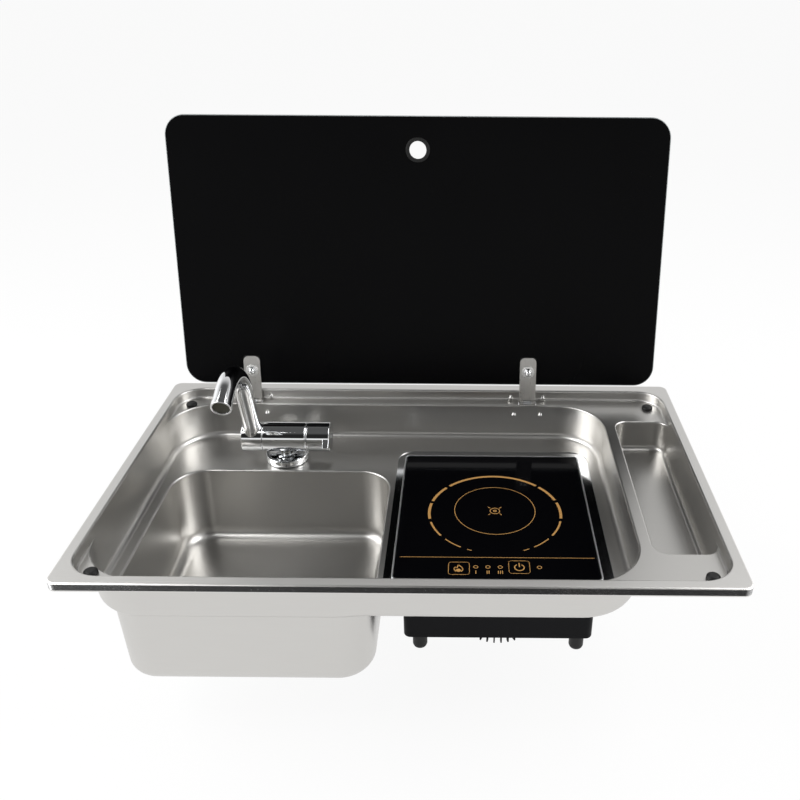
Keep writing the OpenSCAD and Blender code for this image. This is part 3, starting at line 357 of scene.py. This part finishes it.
def circle(x, y, r, n=48):
    a = np.arange(n) * 2 * math.pi / n
    normals = np.column_stack([np.cos(a), np.sin(a)])
    return normals * r + (x, y), normals


def soften(corners, steps=5):
    """An open line through (x, y, radius) corners with each corner rounded."""
    out = []
    for k, corner in enumerate(corners):
        p = np.array(corner[:2], float)
        r = corner[2] if len(corner) > 2 else 0
        if not r or k in (0, len(corners) - 1):
            out.append(tuple(p))
            continue
        a = np.array(corners[k - 1][:2], float) - p
        b = np.array(corners[k + 1][:2], float) - p
        la, lb = np.linalg.norm(a), np.linalg.norm(b)
        a, b = a / la, b / lb
        half = math.acos(max(-1, min(1, float(a @ b)))) / 2
        cut = min(r / math.tan(half), la * 0.49, lb * 0.49)
        r = cut * math.tan(half)
        centre = p + (a + b) / np.linalg.norm(a + b) * r / math.sin(half)
        start, end = p + a * cut - centre, p + b * cut - centre
        sweep = math.atan2(start[0] * end[1] - start[1] * end[0], float(start @ end))
        for i in range(steps + 1):
            t = sweep * i / steps
            out.append((centre[0] + start[0] * math.cos(t) - start[1] * math.sin(t),
                        centre[1] + start[0] * math.sin(t) + start[1] * math.cos(t)))
    return out


def lathe(name, corners, at, axis="Z", n=72, closed=False):
    """A round solid at a point or in a frame, from (radius, along, rounding) corners."""
    line = soften(corners)
    verts, faces = [], []
    rings = []
    for r, z in line:
        if r < 1e-6:
            rings.append([len(verts)])
            verts.append((0, 0, z))
        else:
            rings.append(list(range(len(verts), len(verts) + n)))
            angles = [2 * math.pi * k / n for k in range(n)]
            verts += [(r * math.cos(a), r * math.sin(a), z) for a in angles]
    pairs = list(zip(rings, rings[1:])) + ([(rings[-1], rings[0])] if closed else [])
    for a, b in pairs:
        for k in range(n):
            m = (k + 1) % n
            quad = [a[k % len(a)], a[m % len(a)], b[m % len(b)], b[k % len(b)]]
            quad = [q for i, q in enumerate(quad) if q not in quad[:i]]
            if len(quad) > 2:
                faces.append(quad)
    mesh = bpy.data.meshes.new(name)
    mesh.from_pydata([Vector(v) for v in verts], [], faces)
    place_at = at if isinstance(at, Matrix) else Matrix.Translation(at)
    if axis == "X":
        place_at = place_at @ Matrix.Rotation(math.pi / 2, 4, "Y")
    mesh.transform(Matrix.Scale(MM, 4) @ place_at)
    outward(mesh)
    return mesh


def outward(mesh):
    bm = bmesh.new()
    bm.from_mesh(mesh)
    bmesh.ops.remove_doubles(bm, verts=bm.verts, dist=1e-7)
    bmesh.ops.recalc_face_normals(bm, faces=bm.faces)
    bm.to_mesh(mesh)
    bm.free()


def joined(name, meshes):
    bm = bmesh.new()
    for mesh in meshes:
        bm.from_mesh(mesh)
    out = bpy.data.meshes.new(name)
    bm.to_mesh(out)
    bm.free()
    return out


def refined(node, width, segments=2, angle=32, finishes=None):
    """A copy of a CAD node with softened edges."""
    bm = bmesh.new()
    bm.from_mesh(NODES[node].data)
    bmesh.ops.remove_doubles(bm, verts=bm.verts, dist=2e-6)
    bmesh.ops.dissolve_limit(bm, angle_limit=math.radians(0.6), verts=bm.verts, edges=bm.edges)
    edges = [e for e in bm.edges if len(e.link_faces) == 2 and e.calc_face_angle(0) > math.radians(angle)]
    bmesh.ops.bevel(bm, geom=edges, offset=width * MM, segments=segments, profile=0.5,
                    affect="EDGES", clamp_overlap=True)
    mesh = bpy.data.meshes.new(node + "_soft")
    bm.to_mesh(mesh)
    bm.free()
    return place(node + "_soft", mesh, node, finishes)


def plate(rect, z0, z1, width, holes=(), band=0, steps=3):
    """A flat plate with rounded edges. holes are (x, y, radius), and band is the edges' material index."""
    skin = Skin()
    line = outline(rect, 20, 12)
    rows = []
    for k in range(steps + 1):
        a = math.pi / 2 * (1 - k / steps)
        c, s = math.cos(a), math.sin(a)
        rows.append(row(line, -width + width * c, z1 - width + width * s, c, s))
    for k in range(steps + 1):
        a = -math.pi / 2 * k / steps
        c, s = math.cos(a), math.sin(a)
        rows.append(row(line, -width + width * c, z0 + width + width * s, c, s))
    skin.strips(rows, band)
    rings = [circle(*hole) for hole in holes]
    for ring in rings:
        skin.strips([row(ring, 0.3, z1, 0, 1), row(ring, 0, z1 - 0.3, -0.8, 0.6),
                     row(ring, 0, z1 - 0.3, -1, 0), row(ring, 0, z0 + 0.3, -1, 0),
                     row(ring, 0.3, z0, -0.7, -0.7)], band)
    inner = [row(ring, 0.3, z1, 0, 1)[0] for ring in rings]
    skin.fill([rows[0][0]] + inner, z1, 1)
    skin.fill([rows[-1][0]] + inner, z0, -1)
    return skin


# Deck and bowl

# Where the rolled lip faces
LIP = (math.cos(math.radians(41)), math.sin(math.radians(41)))


def strap_slot(x):
    """The slot in the ledge that a lid strap comes through."""
    return (x - 12.3, x + 12.3, 386.2, 395.2, 1)


def deck():
    """Both sides of the deck, with material 1 on the rim and 2 on its rolled lip, and then of the bowl."""
    skin = Skin()
    rim, recess, basin = outline(RIM), outline(RECESS), outline(BASIN)
    tray, bowl, cut = outline(TRAY, 8), outline(BOWL), outline(CUT)
    slots = [outline(strap_slot(x), 6, 4) for x in HINGES]
    tap_hole = circle(TAP.x, TAP.y, 10.63)
    near_a = np.minimum(gap(recess[0], BASIN), gap(recess[0], TRAY))
    r_foot = np.minimum(3, 0.45 * near_a)
    near_slot = np.min([gap(basin[0], strap_slot(x)) for x in HINGES], axis=0)
    r_basin = np.minimum(np.minimum(2.4, 0.45 * gap(basin[0], RECESS)), 0.8 * near_slot)
    r_tray = np.minimum(2.2, 0.45 * gap(tray[0], RECESS))
    near_b = np.minimum(gap(basin[0], BOWL), gap(basin[0], CUT))
    r_floor = np.minimum(8, 0.5 * near_b)
    near_w = np.minimum(gap(bowl[0], BASIN), gap(bowl[0], CUT))
    r_bowl = np.minimum(2.6, 0.4 * near_w)
    for t in (0, 1):
        side = turned if t else list
        up = -1 if t else 1
        fold = [row(rim, -2 + (2 - t) * math.cos(a), RIM_Z - 2 + (2 - t) * math.sin(a),
                    math.cos(n), math.sin(n))
                for a, n in np.radians([(90, 90), (72, 80), (54, 71), (36, 62), (18, 52), (0, 41)])]
        lip = [fold[-1], row(rim, -t, 1.2, *LIP)]
        hem = [row(rim, -t, 1.2, *LIP), row(rim, -t, 1.0, 1, 0), row(rim, -t, 0, 0.94, -0.34)]
        walls = [
            wall(recess, RIM_Z, LEDGE_Z, 2.5, r_foot, t=t),
            wall(basin, LEDGE_Z, FLOOR_Z, r_basin, r_floor, t=t, steps=8),
            wall(tray, LEDGE_Z, TRAY_Z, r_tray, 7, t=t),
        ]
        edge = wall(bowl, FLOOR_Z, BOWL_Z, r_bowl, 16, 0.03, t=t)[:7]
        if t:
            edge = edge[:1]
        skin.strips(side(fold), 1)
        skin.strips(side(lip), 2)
        skin.strips(side(hem), 1)
        for rows in walls:
            skin.strips(side(rows))
        if not t:
            skin.strips(edge)
        skin.fill([fold[0][0], walls[0][0][0]], RIM_Z - t, up, 1)
        skin.fill([walls[0][-1][0], walls[1][0][0], walls[2][0][0]] + [s[0] for s in slots], LEDGE_Z - t, up)
        skin.fill([walls[1][-1][0], edge[0][0], cut[0], tap_hole[0]], FLOOR_Z - t, up)
        skin.fill([walls[2][-1][0]], TRAY_Z - t, up)
    skin.strips([row(rim, 0, 0, 0, -1), row(rim, -1, 0, 0, -1)])
    for line in slots:
        skin.strips([row(line, 0, LEDGE_Z, -1, 0), row(line, 0, LEDGE_Z - 1, -1, 0)])
    for line in (cut, tap_hole):
        skin.strips([row(line, 0, FLOOR_Z, -1, 0), row(line, 0, FLOOR_Z - 1, -1, 0)])
    place("deck_skin", skin.mesh("deck_skin"), "deck_pressing",
          ["satin_steel", "brushed_steel", "lip_steel"], sharp=0)

    inner = wall(bowl, FLOOR_Z, BOWL_Z, r_bowl, 16, 0.03, steps=9)
    outer = turned(wall(bowl, FLOOR_Z, BOWL_Z, r_bowl, 16, 0.03, t=1, steps=9))
    drain = circle(*DRAIN, 21.1)
    skin = Skin()
    skin.strips(inner[9:])
    skin.strips([row(bowl, 3.5, -55, 1, 0), row(bowl, 3.5, -56, 1, 0)])
    skin.strips([row(bowl, 3.5, -56, 0, -1), row(bowl, 1.4, -56, 0, -1)])
    skin.strips([row(bowl, 1.4, -56, 0.7, -0.7), row(bowl, 1.0, -56.6, 1, 0)] + outer[10:])
    skin.fill([inner[-1][0], drain[0]], BOWL_Z, 1)
    skin.fill([outer[-1][0], drain[0]], BOWL_Z - 1, -1)
    skin.strips([row(drain, 0, BOWL_Z, -1, 0), row(drain, 0, BOWL_Z - 1, -1, 0)])
    place("bowl_skin", skin.mesh("bowl_skin"), "sink_bowl", sharp=0)


deck()


# Bumpers and hinges

place("bumper_domes", joined("bumper_domes", [
    lathe("bumper", [(0, -7), (2.4, -7, 0.5), (2.4, -4), (6.9, -4), (7.2, -3.4, 0.4), (7.0, -0.6, 1.5),
                     (4.6, 1.1, 2.0), (0, 1.2)], Vector((x, y, 0)), n=40)
    for x in (-308.5, 308.5) for y in (24.8, 377.5)]), "lid_bumpers")
refined("rim_seal", 0.4)
refined("hob_support_frame", 0.25)
for side in ("left", "right"):
    refined("hinge_bracket_" + side, 0.4)
    refined("lid_strap_" + side, 0.45, 3, finishes=["strap_steel"])
refined("hinge_pins", 0.3)
screws = []
for x in HINGES:
    for dx, y, z in ((18, 385, -17), (21.8, 401, 1)):
        screws += [lathe("screw", [(0, -0.2), (1.7, -0.3), (1.9, -2.1, 0.1), (2.6, -2.2, 0.3),
                                   (4.1, -0.9, 0.9), (4.1, 0), (2, 0), (2, 2.4), (0, 2.4)],
                         Vector((x + side * dx, y, z)), "Y", 36) for side in (-1, 1)]
place("hinge_screw_heads", joined("hinge_screw_heads", screws), "hinge_screws", ["screw_steel"])


# Lid

place("lid_pane", plate((-317, 317, 17.5, 365.6, 26), 1.5, 7, 1.1, [(0, 58.5, 13.25)] + [
    (x, 346.9, 3.4) for x in HINGES], band=1).mesh("lid_pane", OPENED), "lid_glass",
    ["lid_glass", "glass_edge"], sharp=0)
grommet = lathe("grommet", [(10.8, 0.2), (10.8, 6.8), (11.2, 8.5, 0.3), (14.9, 8.5, 0.8), (15.5, 7.0, 0.2),
                            (13.1, 7.0), (13.1, 1.5), (15.5, 1.5, 0.2), (14.9, 0, 0.8), (11.2, 0, 0.3)],
                OPENED @ Matrix.Translation((0, 58.5, 0)), closed=True)
place("grommet_ring", grommet, "lid_grommet")
refined("strap_pads", 0.2)
refined("lid_bolts", 0.6, 3)
refined("lid_washers", 0.3, finishes=["screw_steel"])
refined("lid_dome_nuts", 0.35)


# Tap

barrel = lathe("barrel", [(0, -27.5), (BARREL_R, -27.5, 0.9), (BARREL_R, 27.5, 0.9), (0, 27.5)], TAP, "X")
neck = lathe("neck", [(5.4, -36), (5.4, -22.97), (7.2, -22.97), (7.2, -20.6, 3), (9.4, -18.2, 4),
                      (12.5, -14)], TAP, n=56)
place("tap_barrel", joined("tap_barrel", [barrel, neck]), "tap_body")
ring = lathe("ring", [(4.2, 27.6), (20, 27.6, 0.85), (20, 29.4, 0.85), (4.2, 29.4)], TAP, "X", closed=True)
place("tap_ring", ring, "tap_trim_ring")
cap = lathe("cap", [(16.5, 56), (16.5, 29.8), (BARREL_R, 29.8, 0.8), (BARREL_R, 59.3, 1.4), (2.2, 59.3, 0.3),
                    (2.2, 55)], TAP, "X")


def fin():
    """The lever: a wedge on the handle's end that narrows towards its tip."""
    bm = bmesh.new()
    rows = []
    for x0, x1, y, z0, z1 in ((50.8, 59.2, -17.2, -7.4, 7.4), (50.9, 59.2, -22, -5.2, 3.2),
                              (51.2, 59.0, -27.9, -3.7, -0.7)):
        rows.append([bm.verts.new(c) for c in ((x0, y, z0), (x1, y, z0), (x1, y, z1), (x0, y, z1))])
    for a, b in zip(rows, rows[1:]):
        for k in range(4):
            bm.faces.new((a[k], a[(k + 1) % 4], b[(k + 1) % 4], b[k]))
    bm.faces.new(rows[0])
    bm.faces.new(rows[-1])
    bmesh.ops.recalc_face_normals(bm, faces=bm.faces)
    edges = [e for e in bm.edges if e.calc_face_angle(0) > 0.6]
    bmesh.ops.bevel(bm, geom=edges, offset=0.8, segments=3, profile=0.5,
                    affect="EDGES", clamp_overlap=True)
    mesh = bpy.data.meshes.new("fin")
    bm.to_mesh(mesh)
    bm.free()
    mesh.transform(Matrix.Scale(MM, 4) @ Matrix.Translation(TAP))
    return mesh


place("tap_lever", joined("tap_lever", [cap, fin()]), "tap_handle")
refined("handle_screw", 0.15)
place("tap_foot", lathe("foot", [(10.7, -31.7), (28, -31.7, 0.4), (28, -29.4, 0.3), (27.3, -28.9, 0.2),
                                 (28, -28.4, 0.3), (28, -23.8, 0.6), (27.2, -22.8, 0.5), (25.2, -22.8, 0.5),
                                 (23.5, -23.6, 1.5), (16, -23.6, 1.5), (13.2, -22.74, 0.6),
                                 (7.6, -22.74, 0.1), (7.6, -22.96), (12.9, -22.96), (12.9, -25.9),
                                 (10.7, -25.9)],
                        TAP, closed=True), "tap_flange")
place("spout_cap", lathe("cap", [(0, -51.9), (12, -51.9), (12, -54.4, 0.5), (0, -54.4)], TAP, "X"),
      "spout_end_cap")


def spout_tube():
    """The bent tube, swept along its path with a flare where it leaves the knuckle."""
    path = [(Vector((0, 0, z)), 0.0, r) for z, r in (
        (8, 14.6), (13, 14.4), (15.5, 13.4), (17.5, 12.6), (20, 12.0), (23, 11.6), (26, 11.45), (29, TUBE_R))]
    path += [(Vector((0, 0, z)), 0.0, TUBE_R) for z in np.arange(34, RISE, 6)]
    for t in np.linspace(0, TURN, 44):
        path.append((Vector((0, BEND * (math.cos(t) - 1), RISE + BEND * math.sin(t))), t, TUBE_R))
    along = Vector((0, -math.sin(TURN), math.cos(TURN)))
    end = path[-1][0]
    for step, r in ((5, TUBE_R), (10, TUBE_R), (16, TUBE_R), (21.6, TUBE_R),
                    (22, 11.0), (22, 10.2), (21.6, 9.8), (13, 9.8)):
        path.append((end + along * step, TURN, r))
    n = 64
    verts, faces = [], []
    for centre, t, r in path:
        out = Vector((0, math.cos(t), math.sin(t)))
        verts += [SPOUT @ (centre + (Vector((1, 0, 0)) * math.cos(a) + out * math.sin(a)) * r) * MM
                  for a in np.arange(n) * 2 * math.pi / n]
    for i in range(len(path) - 1):
        for k in range(n):
            m = (k + 1) % n
            faces.append((i * n + k, i * n + m, (i + 1) * n + m, (i + 1) * n + k))
    mesh = bpy.data.meshes.new("tube")
    mesh.from_pydata(verts, [], faces)
    outward(mesh)
    return mesh


knuckle = lathe("knuckle", [(12.2, -51.9), (12.2, -54.8, 0.3), (BARREL_R, -54.8, 1.0), (BARREL_R, -27.8, 0.8),
                            (9.1, -27.8)], TAP, "X")
place("spout_pipe", joined("spout_pipe", [knuckle, spout_tube()]), "spout")
collar = lathe("collar", [(11.55, 18), (12.2, 18.2, 0.4), (12.2, 25, 0.5), (9.8, 25, 0.5), (9.8, 20)], ARM)
place("outlet_collar", collar, "aerator_collar")
place("outlet_mesh", lathe("mesh", [(0, 21.8), (9.7, 21.8), (9.7, 22.9, 0.3), (0, 23)], ARM), "aerator_mesh")
refined("tap_shank_nut", 0.5)


# Hob

place("hob_pane", plate((-14.1, 209.1, 76.4, 324.1, 3.6), -53, -49, 0.7).mesh("hob_pane"), "hob_glass",
      sharp=0)
refined("hob_trim", 0.35, finishes=["trim_steel"])


def prints():
    """The gold prints on the hob's glass, as thin flat shapes just above it."""
    skin = Skin()
    z = -48.97

    def band(cx, cy, r0, r1, a0, a1, steps=None):
        n = steps or max(2, int(abs(a1 - a0) / 2))
        a = np.radians(np.linspace(a0, a1, n + 1))
        for p, q in zip(a, a[1:]):
            skin.face([((cx + r * math.cos(t), cy + r * math.sin(t), z), (0, 0, 1))
                       for r, t in ((r0, p), (r1, p), (r1, q), (r0, q))])

    def line(points, width, closed=False):
        pts = [Vector(p) for p in points]
        pairs = list(zip(pts, pts[1:])) + ([(pts[-1], pts[0])] if closed else [])
        for p, q in pairs:
            along = (q - p).normalized() * width / 2
            side = Vector((-along.y, along.x))
            p, q = p - along * 0.8, q + along * 0.8
            skin.face([((c.x, c.y, z), (0, 0, 1)) for c in (p - side, q - side, q + side, p + side)])

    cx, cy, ring_r = 98.4, 197.8, 78.4
    for a0, a1, w in ((47.5, 134.7, 1.7), (138.5, 163, 1.7), (20, 44.4, 1.7), (166.6, 190, 1.6),
                      (-8, 16, 1.6), (194.7, 216, 1.1), (-34.5, -12.4, 1.1), (222, 239, 0.7),
                      (-57.4, -40, 0.7), (245, 249, 0.5), (-67.5, -62.3, 0.5)):
        band(cx, cy, ring_r - w, ring_r + w, a0, a1)
    band(cx, 203, 47.8, 48.6, 0, 360)
    band(cx, 201, 5.2, 6.2, 0, 360, 32)
    band(cx, 201, 1.0, 2.2, 0, 360, 20)
    for a in (45, 135, 225, 315):
        t = math.radians(a)
        line([(cx + r * math.cos(t), 201 + r * math.sin(t)) for r in (8, 11)], 1.0)
    line([(-9, 112.5), (206, 112.5)], 0.7)
    for x0, x1, y0, y1 in ((44.8, 67.6, 83, 104), (110.6, 133.4, 85.5, 107)):
        box = outline((x0, x1, y0, y1, 3.2), 10, 4)[0]
        line([tuple(p) for p in box], 0.65, True)
    fx, fy = 55.8, 92.5
    line([(fx - 3, fy - 4), (fx - 5.2, fy), (fx - 3.6, fy + 3.4), (fx - 1.6, fy + 1.2), (fx - 0.4, fy + 7),
          (fx + 3.4, fy + 3), (fx + 5, fy - 0.6), (fx + 3, fy - 4.4)], 1.2)
    band(fx, fy - 2.4, 0, 2.6, 20, 380, 16)
    px, py = 122.1, 95.6
    band(px, py, 4.6, 5.8, 118, 422, 40)
    line([(px, py + 1.2), (px, py + 7)], 1.2)
    for lx in (74.5, 87.8, 101.2, 144):
        band(lx, 96, 1.9, 2.7, 0, 360, 28)
    for k, lx in enumerate((74.5, 87.8, 101.2)):
        for i in range(k + 1):
            line([(lx - k * 1.1 + i * 2.2, 85), (lx - k * 1.1 + i * 2.2, 89.5)], 0.9)
    place("hob_prints", skin.mesh("hob_prints"), "hob_glass", ["gold_print"], replaces=False, sharp=0)


prints()
refined("hob_casing", 0.9, 3)
refined("hob_bottom_cover", 0.7)
refined("fan_grille", 0.3)
place("feet", joined("feet", [
    lathe("foot", [(0, 0), (8.3, 0), (8.3, -15.5, 1.2), (7.4, -18, 1.0), (5.3, -19, 0.8), (0, -19)],
          Vector((x, y, -138)), n=48) for x in (12.5, 190) for y in (91, 309.5)]), "hob_feet")
refined("casing_screws", 0.3)
refined("hob_clips", 0.3)
refined("cord_gland", 0.6)


# Waste

refined("waste_flange", 0.5, 3)
refined("waste_locknut", 0.8)
refined("waste_tail", 0.6)
refined("waste_tail_nut", 0.8)
refined("strainer_basket", 0.25)
refined("strainer_knob", 0.8, 3)


# Floor, light and camera

def stage():
    floor = bpy.data.meshes.new("floor")
    size, z = 40, cad_box[0][2] - 0.001
    floor.from_pydata([(x * size, y * size, z) for x, y in ((-1, -1), (1, -1), (1, 1), (-1, 1))],
                      [], [(0, 1, 2, 3)])
    obj = bpy.data.objects.new("floor", floor)
    bpy.context.scene.collection.objects.link(obj)
    mat = bpy.data.materials.new("floor")
    mat.use_nodes = True
    nodes, links = mat.node_tree.nodes, mat.node_tree.links
    nodes.clear()
    out = nodes.new("ShaderNodeOutputMaterial")
    mix = nodes.new("ShaderNodeMixShader")
    flat = nodes.new("ShaderNodeBsdfDiffuse")
    flat.inputs["Color"].default_value = (1, 1, 1, 1)
    glow = nodes.new("ShaderNodeEmission")
    glow.inputs["Color"].default_value = (1, 1, 1, 1)
    path = nodes.new("ShaderNodeLightPath")
    seen = path.outputs["Is Camera Ray"]
    for kind in ("Is Glossy Ray", "Is Transmission Ray"):
        either = nodes.new("ShaderNodeMath")
        either.operation = "MAXIMUM"
        links.new(seen, either.inputs[0])
        links.new(path.outputs[kind], either.inputs[1])
        seen = either.outputs[0]
    share = nodes.new("ShaderNodeMath")
    share.operation = "MULTIPLY"
    share.inputs[1].default_value = 0.92
    links.new(seen, share.inputs[0])
    links.new(share.outputs[0], mix.inputs[0])
    links.new(flat.outputs[0], mix.inputs[1])
    links.new(glow.outputs[0], mix.inputs[2])
    links.new(mix.outputs[0], out.inputs["Surface"])
    floor.materials.append(mat)

    world = bpy.data.worlds.new("studio")
    bpy.context.scene.world = world
    world.use_nodes = True
    nodes, links = world.node_tree.nodes, world.node_tree.links
    nodes.clear()
    out = nodes.new("ShaderNodeOutputWorld")
    back = nodes.new("ShaderNodeBackground")
    coord = nodes.new("ShaderNodeTexCoord")
    split = nodes.new("ShaderNodeSeparateXYZ")
    links.new(coord.outputs["Generated"], split.inputs[0])

    def math_node(operation, *values):
        node = nodes.new("ShaderNodeMath")
        node.operation = operation
        for socket, value in zip(node.inputs, values):
            if isinstance(value, (int, float)):
                socket.default_value = value
            else:
                links.new(value, socket)
        return node.outputs[0]

    def smooth(value, a, b, low, high):
        node = nodes.new("ShaderNodeMapRange")
        node.interpolation_type = "SMOOTHSTEP"
        for key, number in zip(("From Min", "From Max", "To Min", "To Max"), (a, b, low, high)):
            node.inputs[key].default_value = number
        links.new(value, node.inputs["Value"])
        return node.outputs["Result"]

    x, y, z = split.outputs
    horizon = smooth(z, 0.2, 0.32, 1, 0)
    ceiling = math_node("ADD", smooth(y, -0.75, -0.55, 0.02, 0.09), smooth(y, 0.25, 0.65, 0, 0.66))
    sides = smooth(math_node("ABSOLUTE", x), 0.4, 0.8, 0, 0.5)
    level = math_node("MAXIMUM", horizon, math_node("ADD", ceiling, sides))
    links.new(level, back.inputs["Color"])
    links.new(back.outputs[0], out.inputs["Surface"])

    def softbox(name, where, aim, size_x, size_y, watts):
        light = bpy.data.lights.new(name, "AREA")
        light.shape = "RECTANGLE"
        light.size, light.size_y = size_x, size_y
        light.energy = watts
        lamp = bpy.data.objects.new(name, light)
        bpy.context.scene.collection.objects.link(lamp)
        lamp.location = where
        lamp.rotation_mode = "QUATERNION"
        lamp.rotation_quaternion = (Vector(aim) - Vector(where)).to_track_quat("-Z", "Y")

    softbox("left", (-1.5, 0.1, 1.15), (0, 0.2, 0), 1.4, 1.5, 27)
    softbox("right", (1.4, 0.3, 1.3), (0, 0.2, 0), 1.3, 1.5, 23)
    softbox("front", (-0.95, -0.5, 1.7), (-0.1, 0.3, 0), 0.8, 0.3, 4)


# The photograph's width, focal length and optical centre, in pixels
FRAME_PX, FOCAL_PX, CENTRE_PX = 800, 855.5, 461.4


def camera():
    data = bpy.data.cameras.new("camera")
    data.sensor_width = 36
    data.lens = FOCAL_PX / FRAME_PX * 36
    data.shift_x = (FRAME_PX / 2 - CENTRE_PX) / FRAME_PX
    data.clip_start, data.clip_end = 0.01, 50
    obj = bpy.data.objects.new("camera", data)
    bpy.context.scene.collection.objects.link(obj)
    pitch, roll, yaw = (math.radians(a) for a in (27.90, 0.38, -0.14))
    look = Matrix(((1, 0, 0), (0, math.sin(pitch), math.cos(pitch)),
                   (0, -math.cos(pitch), math.sin(pitch))))
    lean = Matrix(((math.cos(roll), math.sin(roll), 0), (-math.sin(roll), math.cos(roll), 0), (0, 0, 1)))
    swing = Matrix(((math.cos(yaw), -math.sin(yaw), 0), (math.sin(yaw), math.cos(yaw), 0), (0, 0, 1)))
    turn = (lean @ look @ swing).transposed().to_4x4()
    obj.matrix_world = Matrix.Translation((0.0595, -0.6428, 0.5478)) @ turn
    bpy.context.scene.camera = obj


stage()
camera()
bpy.context.scene.view_settings.view_transform = "Standard"
